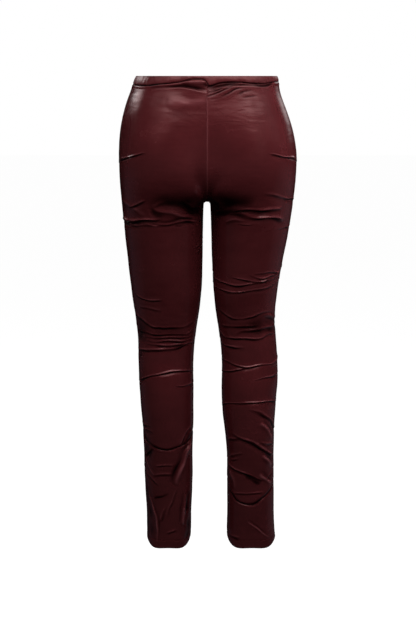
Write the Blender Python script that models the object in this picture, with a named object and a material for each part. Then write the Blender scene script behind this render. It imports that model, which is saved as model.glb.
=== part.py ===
"""Leather trousers, worn and hollow: four leg panels and an elastic waistband.

Frame: metres, +Z up. The origin is the middle of the waist opening, level with the waistband's back edge.
-Y is the back of the garment, +Y the front, +X the wearer's right. Tables are in millimetres and degrees.

A panel is a two-skinned wall lofted through level sections. "Drop" is the distance below the waist edge.
Each leg and its half of the hips has its own side-seam outline; depths are the same on both sides.
"""

import bmesh
import bpy
import numpy as np

MM = 0.001
COLLECTION = "leather_trousers"

# ---- driving dimensions, mm ----
WALL = 1.4
BAND_WALL = 3.0
BAND_HEIGHT = 11.0
BAND_STEP = 0.5
SEAM_GAP = 0.3
FRONT_DIP = 8.0
DIP_REACH = 110.0
CROTCH_DROP = 262.0
CROTCH_ARCH = 6.0
SEAT_TURN_DROP = 170.0
FLY_TURN_DROP = 186.0
HEM_DROP = 1003.0
HEM_RISE = 14.0
HEM_RISE_REACH = 70.0

# ---- shape factors ----
CURVE_POWER = 2.2
ROUNDNESS = 0.58
HANDLE = 0.55
HOOK_HANDLE = 0.4
DIP_FLAT_REACH = 100.0
RISE_POWER = 4.0

# ---- mesh density ----
BACK_SPANS = (4, 5, 2)
FRONT_SPANS = (3, 3, 2)
ROW_NEAR_FOLDS = 9.5
ROW_ELSEWHERE = 26.0
FOLD_MARGIN = 10.0
ROW_EASE = 15
CROTCH_ROW_ANGLES = (28, 44, 57, 68, 77, 84, 90)
CROTCH_ROW_STEPS = (1.2, 3.5, 7.0, 13.0, 21.0)
BAND_SPANS = 56

# Half widths at each drop, measured from the centre seams: the side seam, then the inside leg.
OUTLINE = np.array([
    # drop  l_outer l_inner r_inner r_outer
    (0, 149.5, 7.6, 6.6, 147.5),
    (7, 152.5, 7.6, 6.6, 149.8),
    (15, 155.5, 7.6, 6.6, 150.8),
    (27, 160.5, 7.6, 6.6, 150.8),
    (48, 168.8, 7.6, 6.6, 159.4),
    (70, 175.8, 7.6, 6.6, 168.0),
    (111, 182.8, 7.6, 6.6, 180.2),
    (165, 186.8, 7.6, 6.6, 189.6),
    (215, 185.2, 7.6, 6.6, 187.6),
    (262, 181.5, 7.6, 6.6, 182.6),
    (300, 178.0, 9.0, 8.5, 177.6),
    (360, 172.0, 10.8, 10.7, 166.8),
    (430, 165.0, 11.2, 12.8, 154.0),
    (480, 158.5, 15.4, 17.0, 147.4),
    (515, 153.0, 21.3, 22.5, 145.0),
    (550, 148.4, 25.9, 27.4, 147.2),
    (600, 147.9, 30.1, 32.2, 151.1),
    (640, 146.6, 30.5, 32.2, 152.0),
    (700, 142.2, 30.9, 33.4, 146.8),
    (750, 138.3, 30.9, 38.6, 144.3),
    (800, 136.1, 32.3, 43.2, 143.8),
    (860, 134.0, 32.8, 44.2, 142.9),
    (920, 131.0, 34.2, 43.6, 144.2),
    (975, 130.0, 36.0, 43.6, 146.0),
    (1003, 129.5, 37.3, 44.4, 147.1),
])
DROP, LEFT_OUTER, LEFT_INNER, RIGHT_INNER, RIGHT_OUTER = range(5)

# Depths at each drop: the side seam, the fullest line of the back and the fullest line of the front.
DEPTH = np.array([
    # drop  side   back   front
    (0, 0.0, -97.0, 98.0),
    (40, 0.0, -111.0, 105.0),
    (90, -2.0, -129.0, 109.0),
    (130, -4.0, -140.0, 108.0),
    (170, -5.0, -143.0, 104.0),
    (215, -5.0, -136.0, 99.0),
    (262, -3.0, -118.0, 95.0),
    (300, -1.0, -104.0, 92.0),
    (360, 2.0, -92.0, 89.0),
    (430, 2.0, -81.0, 83.0),
    (500, 0.0, -69.0, 72.0),
    (550, -3.0, -64.0, 62.0),
    (600, -9.0, -69.0, 54.0),
    (650, -16.0, -79.0, 45.0),
    (700, -22.0, -84.0, 39.0),
    (750, -26.0, -84.0, 33.0),
    (800, -29.0, -81.0, 28.0),
    (860, -31.0, -79.0, 24.0),
    (920, -31.0, -80.0, 22.0),
    (1003, -31.0, -82.0, 22.0),
])
SIDE, BACK, FRONT = 1, 2, 3

# The hips: how far out the seat and belly are fullest, the depth of the centre seams above where they
# turn under, and the small hook by which each half turns into its centre seam.
HIP = np.array([
    # drop  seat_out belly_out seat_seam fly_seam hook_out hook_deep turn
    (0, 66.0, 60.0, -100.0, 100.0, 30.0, 1.0, 0.0),
    (40, 74.0, 60.0, -112.0, 107.0, 34.0, 1.0, 2.0),
    (90, 82.0, 62.0, -125.0, 109.0, 38.0, 2.0, 6.0),
    (130, 86.0, 66.0, -130.0, 107.0, 40.0, 4.0, 10.0),
    (170, 89.0, 72.0, -131.5, 104.0, 38.0, 6.0, 18.0),
    (215, 91.0, 80.0, -131.5, 103.0, 24.0, 9.0, 42.0),
    (240, 92.0, 88.0, -131.5, 103.0, 12.0, 8.0, 66.0),
    (255, 93.0, 93.0, -131.5, 103.0, 7.0, 6.0, 84.0),
    (262, 94.5, 94.5, -131.5, 103.0, 6.0, 5.5, 90.0),
])
SEAT_OUT, BELLY_OUT, SEAT_SEAM, FLY_SEAM, HOOK_OUT, HOOK_DEEP, TURN = range(1, 8)

# The largest folds. Each is a ridge from one place to another, with a sharper trough beside it.
# Angle is round the leg: 0 back, 90 outer side, 180 front, -90 inside leg. Bow is how far the middle sags
# below the straight line between the ends, and trough how far below the ridge its trough lies.
FOLDS = (
    # leg, from angle, from drop, to angle, to drop, bow, height, width, trough
    # waist and hips
    ("left", 84, 26, -52, 19, 0, 2.2, 7, 9),
    ("right", -52, 20, 88, 17, -3, 2.0, 7, 8),
    ("left", 74, 172, 8, 153, 0, 3.2, 7, 10),
    ("right", 12, 158, 76, 171, 0, 3.2, 7, 10),
    # under the seat
    ("left", 84, 297, -66, 290, -3, 3.8, 8, 11),
    ("left", 0, 262, -48, 278, 4, 2.0, 8, 10),
    ("right", -44, 274, 50, 271, -4, 2.8, 8, 9),
    ("right", -58, 286, 74, 301, -6, 3.6, 8, 10),
    # back of the knees
    ("left", 82, 446, 6, 468, 3, 2.4, 7, 9),
    ("left", 88, 492, -92, 504, 28, 3.0, 7, 9),
    ("left", 86, 530, -92, 532, 12, 2.6, 7, 8),
    ("left", 92, 578, -96, 553, 3, 3.8, 7, 9),
    ("left", 88, 649, -86, 630, -18, 3.4, 7, 10),
    ("right", -4, 415, 84, 399, 2, 2.4, 7, 9),
    ("right", -88, 414, 72, 413, 17, 3.0, 7, 9),
    ("right", -94, 438, 78, 430, 11, 2.8, 7, 9),
    ("right", -78, 492, 92, 488, 13, 3.6, 8, 11),
    ("right", -30, 533, 98, 522, -2, 2.8, 7, 9),
    ("right", -84, 541, 92, 535, 13, 2.8, 7, 9),
    ("right", -88, 587, 94, 590, 18, 3.4, 8, 10),
    ("right", -84, 627, -2, 611, 0, 2.4, 7, 9),
    ("right", 2, 636, 88, 628, -2, 2.6, 7, 9),
    # lower legs
    ("left", 84, 766, -94, 770, 20, 3.6, 8, -11),
    ("left", 76, 840, 6, 795, 0, 3.8, 7, -10),
    ("left", 78, 828, 20, 868, 0, 3.0, 7, 9),
    ("left", -68, 772, -14, 870, 4, 3.0, 9, 10),
    ("left", 64, 868, 26, 998, 4, 2.4, 7, -9),
    ("right", -84, 693, 94, 691, -10, 3.2, 7, 9),
    ("right", 8, 706, 90, 746, -3, 3.2, 7, 9),
    ("right", -34, 755, 96, 820, -2, 4.0, 8, 10),
    ("right", -72, 815, 54, 868, -6, 3.8, 8, 10),
    ("right", 92, 830, 36, 858, 0, 3.0, 7, 9),
    ("right", -86, 872, 96, 874, 36, 3.8, 8, -10),
    # front of the hips and thighs
    ("left", 208, 236, 136, 206, 6, 2.8, 9, 11),
    ("left", 236, 296, 140, 262, 8, 2.6, 9, 11),
    ("right", 210, 230, 128, 212, 6, 2.8, 9, 11),
    ("right", 232, 286, 148, 268, 10, 2.6, 9, 11),
    # front of the knees
    ("left", 96, 520, 172, 498, -4, 2.4, 8, 10),
    ("left", 262, 512, 190, 524, 4, 2.4, 8, 10),
    ("left", 98, 604, 232, 612, 12, 2.8, 8, 10),
    ("right", 104, 486, 176, 508, 4, 2.4, 8, 10),
    ("right", 264, 530, 196, 506, -4, 2.4, 8, 10),
    ("right", 110, 602, 236, 592, 12, 2.8, 8, 10),
    # shins and ankles
    ("left", 106, 692, 226, 678, 10, 2.8, 8, 10),
    ("left", 112, 786, 256, 802, 16, 3.4, 8, 10),
    ("left", 96, 856, 204, 884, -8, 3.2, 8, 10),
    ("left", 262, 852, 158, 908, 10, 3.4, 8, -10),
    ("right", 118, 664, 246, 676, 10, 2.8, 8, 10),
    ("right", 104, 772, 214, 748, 12, 3.4, 8, 10),
    ("right", 258, 796, 140, 836, 12, 3.4, 8, 10),
    ("right", 108, 906, 250, 884, 20, 3.6, 8, -10),
)
TROUGH_DEPTH = 0.55
TROUGH_WIDTH = 0.62
FOLD_END_POWER = 3

LEATHER = {"colour": (0.085, 0.016, 0.020, 1.0), "roughness": 0.22}
ELASTIC = {"colour": (0.070, 0.014, 0.017, 1.0), "roughness": 0.30}


def eased(table, column, drop):
    """Smooth curve through one column of a table: cubic Hermite, with slopes from the neighbours."""
    drops, values = table[:, DROP], table[:, column]
    slopes = np.gradient(values, drops)
    row = np.clip(np.searchsorted(drops, drop, side="right") - 1, 0, len(drops) - 2)
    step = drops[row + 1] - drops[row]
    t = np.clip((drop - drops[row]) / step, 0, 1)
    level = values[row] * (1 + 2 * t) * (1 - t) ** 2 + values[row + 1] * t * t * (3 - 2 * t)
    return level + step * (slopes[row] * t * (1 - t) ** 2 - slopes[row + 1] * t * t * (1 - t))


def unit(vectors):
    """Vectors scaled to length one."""
    return vectors / np.linalg.norm(vectors, axis=-1, keepdims=True)


def bezier(start, leave, arrive, end, spans):
    """Cubic Bezier curves, one for each row of points, cut into equal steps of their parameter."""
    t = np.linspace(0, 1, spans + 1)[None, :, None]
    start, leave, arrive, end = (p[:, None, :] for p in (start, leave, arrive, end))
    return start * (1 - t) ** 3 + 3 * leave * t * (1 - t) ** 2 + 3 * arrive * t * t * (1 - t) + end * t**3


def leg_sizes(leg, drop):
    """Outer and inner half width of a leg; the inner one closes to the crotch in a small round arch."""
    outer = eased(OUTLINE, LEFT_OUTER if leg == "left" else RIGHT_OUTER, drop)
    inner = eased(OUTLINE, LEFT_INNER if leg == "left" else RIGHT_INNER, drop)
    below = np.clip((drop - CROTCH_DROP) / CROTCH_ARCH, 0, 1)
    return outer, np.maximum(inner * np.sqrt(1 - (1 - below) ** 2), SEAM_GAP / 2)


def centre_seam_depth(drop, turn_drop, column):
    """Depth of a centre seam: it follows the hips, then swings under on a quarter of a superellipse."""
    crotch = eased(DEPTH, SIDE, CROTCH_DROP)
    full = eased(HIP, column, np.minimum(drop, turn_drop))
    under = np.clip((drop - turn_drop) / (CROTCH_DROP - turn_drop), 0, 1)
    return crotch + (full - crotch) * (1 - under**CURVE_POWER) ** (1 / CURVE_POWER)


def section(leg, face, drop, spans):
    """Plan curves of one panel, one row for each drop, from the side seam to the centre seam or inseam.

    Three Bezier stretches: side seam to fullest line, fullest line to hook, and the hook into the seam.
    """
    back = face == "back"
    outward = -1.0 if back else 1.0
    hips = drop <= CROTCH_DROP
    hip_drop = np.minimum(drop, CROTCH_DROP)
    outer, inner = leg_sizes(leg, drop)
    side_y = eased(DEPTH, SIDE, drop)
    full_y = eased(DEPTH, BACK if back else FRONT, drop)
    seam_y = centre_seam_depth(drop, *((SEAT_TURN_DROP, SEAT_SEAM) if back else (FLY_TURN_DROP, FLY_SEAM)))
    seam_y = np.where(hips, seam_y, side_y)
    full_x = np.where(hips, eased(HIP, SEAT_OUT if back else BELLY_OUT, hip_drop), (inner + outer) / 2)
    hook_x = np.where(hips, eased(HIP, HOOK_OUT, hip_drop), inner)
    hook_y = seam_y + outward * eased(HIP, HOOK_DEEP, hip_drop)
    turn = np.radians(eased(HIP, TURN, hip_drop))
    end_x = np.where(hips, SEAM_GAP / 2, inner)

    side = np.stack([outer, side_y], -1)
    full = np.stack([full_x, full_y], -1)
    hook = np.stack([hook_x, hook_y], -1)
    end = np.stack([end_x, seam_y], -1)
    heading = np.stack([-np.cos(turn), -outward * np.sin(turn)], -1)
    arriving = np.where(hips[:, None], np.array([-1.0, 0.0]), np.array([0.0, -outward]))

    across = np.stack([outer - full_x, np.zeros_like(drop)], -1)
    deep = np.stack([np.zeros_like(drop), full_y - side_y], -1)
    inward = np.stack([hook_x - full_x, np.zeros_like(drop)], -1)
    reach = np.abs(seam_y - full_y) * np.sin(turn) + np.abs(full_x - hook_x) * np.cos(turn)
    short = HOOK_HANDLE * np.linalg.norm(end - hook, axis=1)[:, None]
    first = bezier(side, side + ROUNDNESS * deep, full + ROUNDNESS * across, full, spans[0])
    second = bezier(full, full + HANDLE * inward, hook - HANDLE * reach[:, None] * heading, hook, spans[1])
    third = bezier(hook, hook + short * heading, end - short * arriving, end, spans[2])
    return np.concatenate([first, second[:, 1:], third[:, 1:]], axis=1)


def fold_span(fold):
    """Lowest and highest drop that a fold reaches, with a margin."""
    _, _, from_drop, _, to_drop, bow, *_ = fold
    drops = (from_drop, to_drop, (from_drop + to_drop) / 2 + bow)
    return min(drops) - FOLD_MARGIN, max(drops) + FOLD_MARGIN


def row_drops(leg):
    """Drops of a leg's rows: close together at its folds, wide apart elsewhere, set out at the crotch."""
    fine = np.arange(BAND_HEIGHT + SEAM_GAP, HEM_DROP + 0.5)
    near = np.zeros_like(fine)
    for fold in FOLDS:
        low, high = fold_span(fold)
        near = np.maximum(near, (fold[0] == leg) * (fine > low) * (fine < high))
    near = np.convolve(np.pad(near, ROW_EASE, mode="edge"), np.ones(2 * ROW_EASE + 1), "valid")
    near /= 2 * ROW_EASE + 1
    count = np.cumsum(near / ROW_NEAR_FOLDS + (1 - near) / ROW_ELSEWHERE)
    count -= count[0]
    rows = np.interp(np.linspace(0, count[-1], round(count[-1]) + 1), count, fine)
    turns = np.sin(np.radians(CROTCH_ROW_ANGLES)) ** (2 / CURVE_POWER)
    crotch = np.concatenate([
        SEAT_TURN_DROP + (CROTCH_DROP - SEAT_TURN_DROP) * turns,
        CROTCH_DROP + np.array(CROTCH_ROW_STEPS),
    ])
    apart = ROW_NEAR_FOLDS / 2
    above = rows[rows < crotch[0] - apart]
    below = rows[rows > crotch[-1] + apart]
    return np.concatenate([above, crotch, below])


def mirrored(leg):
    """Sections are drawn for a leg on the +X side; the left leg takes them with X turned over."""
    return np.array([-1.0 if leg == "left" else 1.0, 1.0, 1.0])


def leg_grid(leg, drops):
    """Base surface of a leg and its half of the hips, on +X: rows down, columns from the front's inner
    edge round the side seam to the back's inner edge."""
    front = section(leg, "front", drops, FRONT_SPANS)[:, ::-1]
    back = section(leg, "back", drops, BACK_SPANS)
    plan = np.concatenate([front, back[:, 1:]], axis=1)
    down = np.broadcast_to(-drops[:, None, None], (*plan.shape[:2], 1))
    return np.concatenate([plan, down], axis=-1)


def grid_normals(grid, drops):
    """Outward normals of a leg's grid from its faces, shared across the inseam and the centre seams."""
    facing = np.cross(grid[1:, 1:] - grid[:-1, :-1], grid[:-1, 1:] - grid[1:, :-1])
    normals = np.zeros_like(grid)
    for rows in (slice(None, -1), slice(1, None)):
        for columns in (slice(None, -1), slice(1, None)):
            normals[rows, columns] += facing
    legs = drops >= CROTCH_DROP
    both = normals[:, 0] + normals[:, -1]
    normals[legs, 0] = both[legs]
    normals[legs, -1] = both[legs]
    hips = drops <= CROTCH_DROP
    normals[hips, 0, 0] = 0.0
    normals[hips, -1, 0] = 0.0
    normals = unit(normals)
    middle = normals[len(drops) // 2, BACK_SPANS[0] + sum(FRONT_SPANS)]
    return normals * (-1.0 if middle[1] > 0 else 1.0)


def fold_relief(leg, grid):
    """How far each point of the grid is raised by the folds: a ridge with a sharper trough beside it."""
    drop = -grid[..., 2]
    outer, inner = leg_sizes(leg, drop)
    side_y = eased(DEPTH, SIDE, drop)
    angle = np.degrees(np.arctan2(grid[..., 0] - (outer + inner) / 2, side_y - grid[..., 1]))
    radius = ((outer - inner) + eased(DEPTH, FRONT, drop) - eased(DEPTH, BACK, drop)) / 4
    relief = np.zeros_like(drop)
    for fold_leg, from_angle, from_drop, to_angle, to_drop, bow, height, width, trough in FOLDS:
        if fold_leg != leg:
            continue
        middle = (from_angle + to_angle) / 2
        round_leg = np.radians((angle - middle + 180) % 360 - 180) * radius
        half = np.radians(to_angle - from_angle) / 2 * radius
        slope = (to_drop - from_drop) / 2
        down = drop - (from_drop + to_drop) / 2
        length = np.hypot(half, slope)
        along = (round_leg * half + down * slope) / length**2
        across = (down * half - round_leg * slope) / length * np.sign(half)
        across -= bow * (1 - along**2)
        fade = np.clip(1 - np.abs(along) ** FOLD_END_POWER, 0, 1)
        ridge = np.exp(-((across / width) ** 2))
        dip = np.exp(-(((across - trough) / (TROUGH_WIDTH * width)) ** 2))
        relief += height * fade * (ridge - TROUGH_DEPTH * dip)
    return relief


def settle_edges(points, leg):
    """Tilt the waist down to the front and lift the hem at its sides, as the garment is worn."""
    x, y = points[..., 0], points[..., 1]
    drop = -points[..., 2]
    near_waist = np.clip(1 - drop / DIP_REACH, 0, 1)
    tilt = (y + DIP_FLAT_REACH) / (2 * DIP_FLAT_REACH)
    outer, inner = leg_sizes(leg, np.float64(HEM_DROP))
    aside = np.abs((x - (outer + inner) / 2) / ((outer - inner) / 2))
    near_hem = np.clip(1 - (HEM_DROP - drop) / HEM_RISE_REACH, 0, 1)
    lifted = points.copy()
    lifted[..., 2] += HEM_RISE * aside**RISE_POWER * near_hem**2 - FRONT_DIP * tilt * near_waist
    return lifted


def trim(skin, column, rows):
    """Draw one edge column back along the cloth by half a seam gap, in the rows given."""
    inside = 1 if column == 0 else -2
    back = unit(skin[rows, inside] - skin[rows, column])
    skin[rows, column] += SEAM_GAP / 2 * back


def wall_mesh(name, outer, inner):
    """A closed wall between two skins of points: both skins and the four edges."""
    rows, columns = outer.shape[:2]
    points = np.concatenate([outer.reshape(-1, 3), inner.reshape(-1, 3)]) * MM
    index = np.arange(rows * columns).reshape(rows, columns)
    under = index + rows * columns
    corners = [index[:-1, :-1], index[:-1, 1:], index[1:, 1:], index[1:, :-1]]
    faces = [np.stack([c.ravel() for c in corners], -1)]
    faces.append(faces[0][:, ::-1] + rows * columns)
    ring = np.concatenate([index[0, :-1], index[:-1, -1], index[-1, :0:-1], index[:0:-1, 0]])
    below = np.concatenate([under[0, :-1], under[:-1, -1], under[-1, :0:-1], under[:0:-1, 0]])
    faces.append(np.stack([ring, below, np.roll(below, -1), np.roll(ring, -1)], -1))
    mesh = bpy.data.meshes.new(name)
    mesh.from_pydata(points.tolist(), [], np.concatenate(faces).tolist())
    close_outwards(mesh)
    return mesh


def close_outwards(mesh):
    """Turn the faces of a closed mesh outwards and shade it smooth."""
    work = bmesh.new()
    work.from_mesh(mesh)
    bmesh.ops.recalc_face_normals(work, faces=work.faces)
    work.to_mesh(mesh)
    work.free()
    mesh.shade_smooth()
    mesh.set_sharp_from_angle(angle=np.radians(60))


def leather(name, finish):
    """Glossy coated leather of one colour."""
    material = bpy.data.materials.new(name)
    material.use_nodes = True
    surface = material.node_tree.nodes["Principled BSDF"]
    surface.inputs["Base Color"].default_value = finish["colour"]
    surface.inputs["Roughness"].default_value = finish["roughness"]
    surface.inputs["Metallic"].default_value = 0.0
    return material


def add_piece(collection, mesh, finish):
    """Put a mesh into the garment as a named piece with a material of its own."""
    piece = bpy.data.objects.new(mesh.name, mesh)
    mesh.materials.append(leather(mesh.name + "_leather", finish))
    collection.objects.link(piece)
    return piece


def make_leg(collection, leg):
    """The back and front panels of one leg, each one piece from the waistband to the hem."""
    drops = row_drops(leg)
    grid = leg_grid(leg, drops)
    normals = grid_normals(grid, drops)
    outer = grid + fold_relief(leg, grid)[..., None] * normals
    inner = outer - WALL * normals
    for skin in (outer, inner):
        skin[[0, -1], :, 2] = -drops[[0, -1], None]
    side = sum(FRONT_SPANS)
    legs = drops >= CROTCH_DROP
    every = np.ones_like(legs)
    for face, columns, seam, edge in (
        ("front", slice(None, side + 1), -1, 0),
        ("back", slice(side, None), 0, -1),
    ):
        skins = []
        for skin in (outer, inner):
            panel = skin[:, columns].copy()
            trim(panel, seam, every)
            trim(panel, edge, legs)
            skins.append(settle_edges(panel, leg) * mirrored(leg))
        add_piece(collection, wall_mesh(f"{face}_panel_{leg}", *skins), LEATHER)


def waist_ring(drop, inset):
    """Closed ring of points round the waist at one drop, drawn in from the cloth's face by the inset."""
    drops = np.array([drop])
    halves = []
    for leg in ("right", "left"):
        front = section(leg, "front", drops, (BAND_SPANS // 8, BAND_SPANS // 8, 2))[0, ::-1]
        back = section(leg, "back", drops, (BAND_SPANS // 8, BAND_SPANS // 8, 2))[0]
        half = np.concatenate([front[:-1], back]) * mirrored(leg)[:2]
        half[[0, -1], 0] = 0.0
        halves.append(half)
    ring = np.concatenate([halves[0][:-1], halves[1][:0:-1]])
    along = np.roll(ring, -1, axis=0) - np.roll(ring, 1, axis=0)
    inwards = unit(np.stack([-along[:, 1], along[:, 0]], -1))
    inwards *= np.sign(-(inwards * ring).sum(-1, keepdims=True))
    ring = ring + inset * inwards
    ring = np.concatenate([ring, np.full((len(ring), 1), -drop)], axis=-1)
    return settle_edges(ring, "right")


def make_waistband(collection):
    """The elastic casing: one closed band, two layers of leather thick, slightly proud of the panels."""
    rounded = BAND_WALL / 4
    profile = (
        # drop, inset
        (rounded, -BAND_STEP),
        (BAND_HEIGHT - rounded, -BAND_STEP),
        (BAND_HEIGHT, rounded - BAND_STEP),
        (BAND_HEIGHT, BAND_WALL - rounded - BAND_STEP),
        (BAND_HEIGHT - rounded, BAND_WALL - BAND_STEP),
        (rounded, BAND_WALL - BAND_STEP),
        (0.0, BAND_WALL - rounded - BAND_STEP),
        (0.0, rounded - BAND_STEP),
    )
    rings = np.stack([waist_ring(drop, inset) for drop, inset in profile])
    corners, steps = rings.shape[:2]
    index = np.arange(corners * steps).reshape(corners, steps)
    after = np.roll(index, -1, axis=0)
    faces = np.stack([index, np.roll(index, -1, axis=1), np.roll(after, -1, axis=1), after], -1)
    mesh = bpy.data.meshes.new("waistband")
    mesh.from_pydata((rings.reshape(-1, 3) * MM).tolist(), [], faces.reshape(-1, 4).tolist())
    close_outwards(mesh)
    add_piece(collection, mesh, ELASTIC)


def main():
    """Clear the scene and build the trousers."""
    for old in list(bpy.data.objects):
        bpy.data.objects.remove(old, do_unlink=True)
    collection = bpy.data.collections.new(COLLECTION)
    bpy.context.scene.collection.children.link(collection)
    make_leg(collection, "left")
    make_leg(collection, "right")
    make_waistband(collection)


main()
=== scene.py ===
"""Glossy leather trousers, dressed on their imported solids: four leg panels and a gathered waistband.

Tables and lengths are in millimetres and degrees, and become metres when a mesh is made. "Drop" is the
distance below the waist edge. Angles go round a leg: 0 back, 90 outer side, 180 front, -90 inside leg.
"""

import functools
import math

import bpy
import numpy as np
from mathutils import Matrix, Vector


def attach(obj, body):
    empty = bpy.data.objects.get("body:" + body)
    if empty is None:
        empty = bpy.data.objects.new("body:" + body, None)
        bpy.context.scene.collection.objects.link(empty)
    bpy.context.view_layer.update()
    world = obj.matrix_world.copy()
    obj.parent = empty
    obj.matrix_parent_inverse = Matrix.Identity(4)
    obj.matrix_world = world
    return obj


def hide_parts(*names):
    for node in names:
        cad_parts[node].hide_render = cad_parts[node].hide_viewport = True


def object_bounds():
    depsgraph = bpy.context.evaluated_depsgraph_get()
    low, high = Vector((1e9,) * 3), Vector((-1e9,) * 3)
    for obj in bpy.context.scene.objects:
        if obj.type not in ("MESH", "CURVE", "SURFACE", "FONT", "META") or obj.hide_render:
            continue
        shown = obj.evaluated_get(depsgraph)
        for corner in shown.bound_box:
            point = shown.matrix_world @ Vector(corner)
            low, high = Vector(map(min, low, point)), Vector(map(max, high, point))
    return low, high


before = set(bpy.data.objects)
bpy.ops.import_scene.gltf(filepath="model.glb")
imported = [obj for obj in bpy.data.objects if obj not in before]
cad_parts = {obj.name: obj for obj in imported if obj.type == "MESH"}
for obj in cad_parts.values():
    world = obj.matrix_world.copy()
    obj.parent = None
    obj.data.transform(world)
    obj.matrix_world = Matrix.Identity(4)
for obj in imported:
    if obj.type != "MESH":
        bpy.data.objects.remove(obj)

CAD_BOX = [list(corner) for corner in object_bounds()]

bl_info = {
    "name": "Leather Trousers",
    "version": (1, 0, 0),
    "blender": (4, 5, 0),
    "location": "3D View > Sidebar > Trousers",
    "description": "Makes the panels, waistband and studio of a pair of glossy leather trousers",
    "category": "Add Mesh",
}

MM = 0.001
BODY = "root"
LEGS = ("left", "right")

# ---- the cut, mm: powers, roundness and handles are shares ----
SEAM_GAP = 0.3
BAND_HEIGHT = 11.0
FRONT_DIP = 8.0
DIP_REACH = 110.0
DIP_FLAT_REACH = 98.0
CROTCH_DROP = 262.0
CROTCH_ARCH = 6.0
SEAT_TURN_DROP = 170.0
FLY_TURN_DROP = 186.0
HEM_DROP = 999.6
HEM_RISE = 12.0
HEM_SAG = 3.0
HEM_RISE_REACH = 70.0
RISE_POWER = 5.0
CURVE_POWER = 2.2
ROUNDNESS = 0.58
HANDLE = 0.55
HOOK_HANDLE = 0.4

# ---- mesh density ----
STRETCH_POINTS = 41
PANEL_COLUMNS = 91
PANEL_ROWS = 964
INNER_STRIDE = 3
EDGE_COLUMNS = (0.0, 0.7, 1.5, 2.6)
FINE_ROW = 0.5
FINE_SHARE = 3.4
FOLD_MARGIN = 6.0
ROW_EASE = 8
CROTCH_ANGLES = (60, 68, 75, 80, 84, 87, 90)
CROTCH_STEPS = (0.3, 0.9, 1.8, 3.0, 4.5, 6.0)
HEM_EDGE_ROWS = (1.2, 0.4)
LEAST_ROW = 0.25
# Only every third of the closest rows may be left out, so that no two neighbours are.
SPARE_STEP = 3
PATH_STEPS = 9
SHARP_ANGLE = math.radians(60)

# Half widths at each drop, measured from the centre seams: the side seam, then the inside leg.
OUTLINE = np.array([
    # drop  l_outer l_inner r_inner r_outer
    (0, 149.5, 7.6, 6.6, 147.5),
    (7, 152.5, 7.6, 6.6, 149.8),
    (15, 155.5, 7.6, 6.6, 150.8),
    (27, 160.5, 7.6, 6.6, 150.8),
    (48, 168.8, 7.6, 6.6, 159.4),
    (70, 175.8, 7.6, 6.6, 168.0),
    (111, 182.8, 7.6, 6.6, 180.2),
    (165, 186.8, 7.6, 6.6, 189.6),
    (215, 185.2, 7.6, 6.6, 187.6),
    (262, 181.5, 7.6, 6.6, 182.6),
    (300, 178.0, 9.0, 8.5, 177.6),
    (360, 172.0, 10.8, 10.7, 166.8),
    (430, 165.0, 11.2, 12.8, 154.0),
    (480, 158.5, 15.4, 17.0, 147.4),
    (515, 153.0, 21.3, 22.5, 145.0),
    (550, 148.4, 25.9, 27.4, 147.2),
    (600, 147.9, 30.1, 32.2, 151.1),
    (640, 146.6, 30.5, 32.2, 152.0),
    (700, 142.2, 30.9, 33.4, 146.8),
    (750, 138.3, 30.9, 38.6, 144.3),
    (800, 136.1, 32.3, 43.2, 143.8),
    (860, 134.0, 32.8, 44.2, 142.9),
    (920, 131.0, 34.2, 43.6, 144.2),
    (975, 130.0, 36.0, 43.6, 146.0),
    (1003, 129.5, 37.3, 44.4, 147.1),
])
DROP, LEFT_OUTER, LEFT_INNER, RIGHT_INNER, RIGHT_OUTER = range(5)

# Depths at each drop: the side seam, the fullest line of the back and the fullest line of the front.
DEPTH = np.array([
    # drop  side   back   front
    (0, 0.0, -97.0, 98.0),
    (40, 0.0, -111.0, 105.0),
    (90, -2.0, -129.0, 109.0),
    (130, -4.0, -140.0, 108.0),
    (170, -5.0, -143.0, 104.0),
    (215, -5.0, -136.0, 99.0),
    (262, -3.0, -118.0, 95.0),
    (300, -1.0, -104.0, 92.0),
    (360, 2.0, -92.0, 89.0),
    (430, 2.0, -81.0, 83.0),
    (500, 0.0, -69.0, 72.0),
    (550, -3.0, -64.0, 62.0),
    (600, -9.0, -69.0, 54.0),
    (650, -16.0, -79.0, 45.0),
    (700, -22.0, -84.0, 39.0),
    (750, -26.0, -84.0, 33.0),
    (800, -29.0, -81.0, 28.0),
    (860, -31.0, -79.0, 24.0),
    (920, -31.0, -80.0, 22.0),
    (1003, -31.0, -82.0, 22.0),
])
SIDE, BACK, FRONT = 1, 2, 3

# The hips: how far out the seat and belly are fullest, the depth of the centre seams above where they
# turn under, and the small hook by which each half turns into its centre seam.
HIP = np.array([
    # drop  seat_out belly_out seat_seam fly_seam hook_out hook_deep turn
    (0, 66.0, 60.0, -100.0, 100.0, 30.0, 1.0, 0.0),
    (40, 74.0, 60.0, -112.0, 107.0, 34.0, 1.0, 2.0),
    (90, 82.0, 62.0, -125.0, 109.0, 38.0, 2.0, 6.0),
    (130, 86.0, 66.0, -130.0, 107.0, 40.0, 4.0, 10.0),
    (170, 89.0, 72.0, -131.5, 104.0, 38.0, 6.0, 18.0),
    (215, 91.0, 80.0, -131.5, 103.0, 24.0, 6.0, 42.0),
    (240, 92.0, 88.0, -131.5, 103.0, 12.0, 8.0, 66.0),
    (255, 93.0, 93.0, -131.5, 103.0, 7.0, 6.0, 84.0),
    (262, 94.5, 94.5, -131.5, 103.0, 6.0, 5.5, 90.0),
])
SEAT_OUT, BELLY_OUT, SEAT_SEAM, FLY_SEAM, HOOK_OUT, HOOK_DEEP, TURN = range(1, 8)
TABLES = {"outline": OUTLINE, "depth": DEPTH, "hip": HIP}

# ---- how the plain form is softened, mm or columns ----
TABLE_SOFTNESS = 9.0
ROUND_SOFTNESS = 12.0
DOWN_SOFTNESS = 9.0
SEAM_KEEP = 34.0
SEAM_HELD = SEAM_KEEP / 3
CROTCH_KEEP = 46.0
END_KEEP = 16.0

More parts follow.
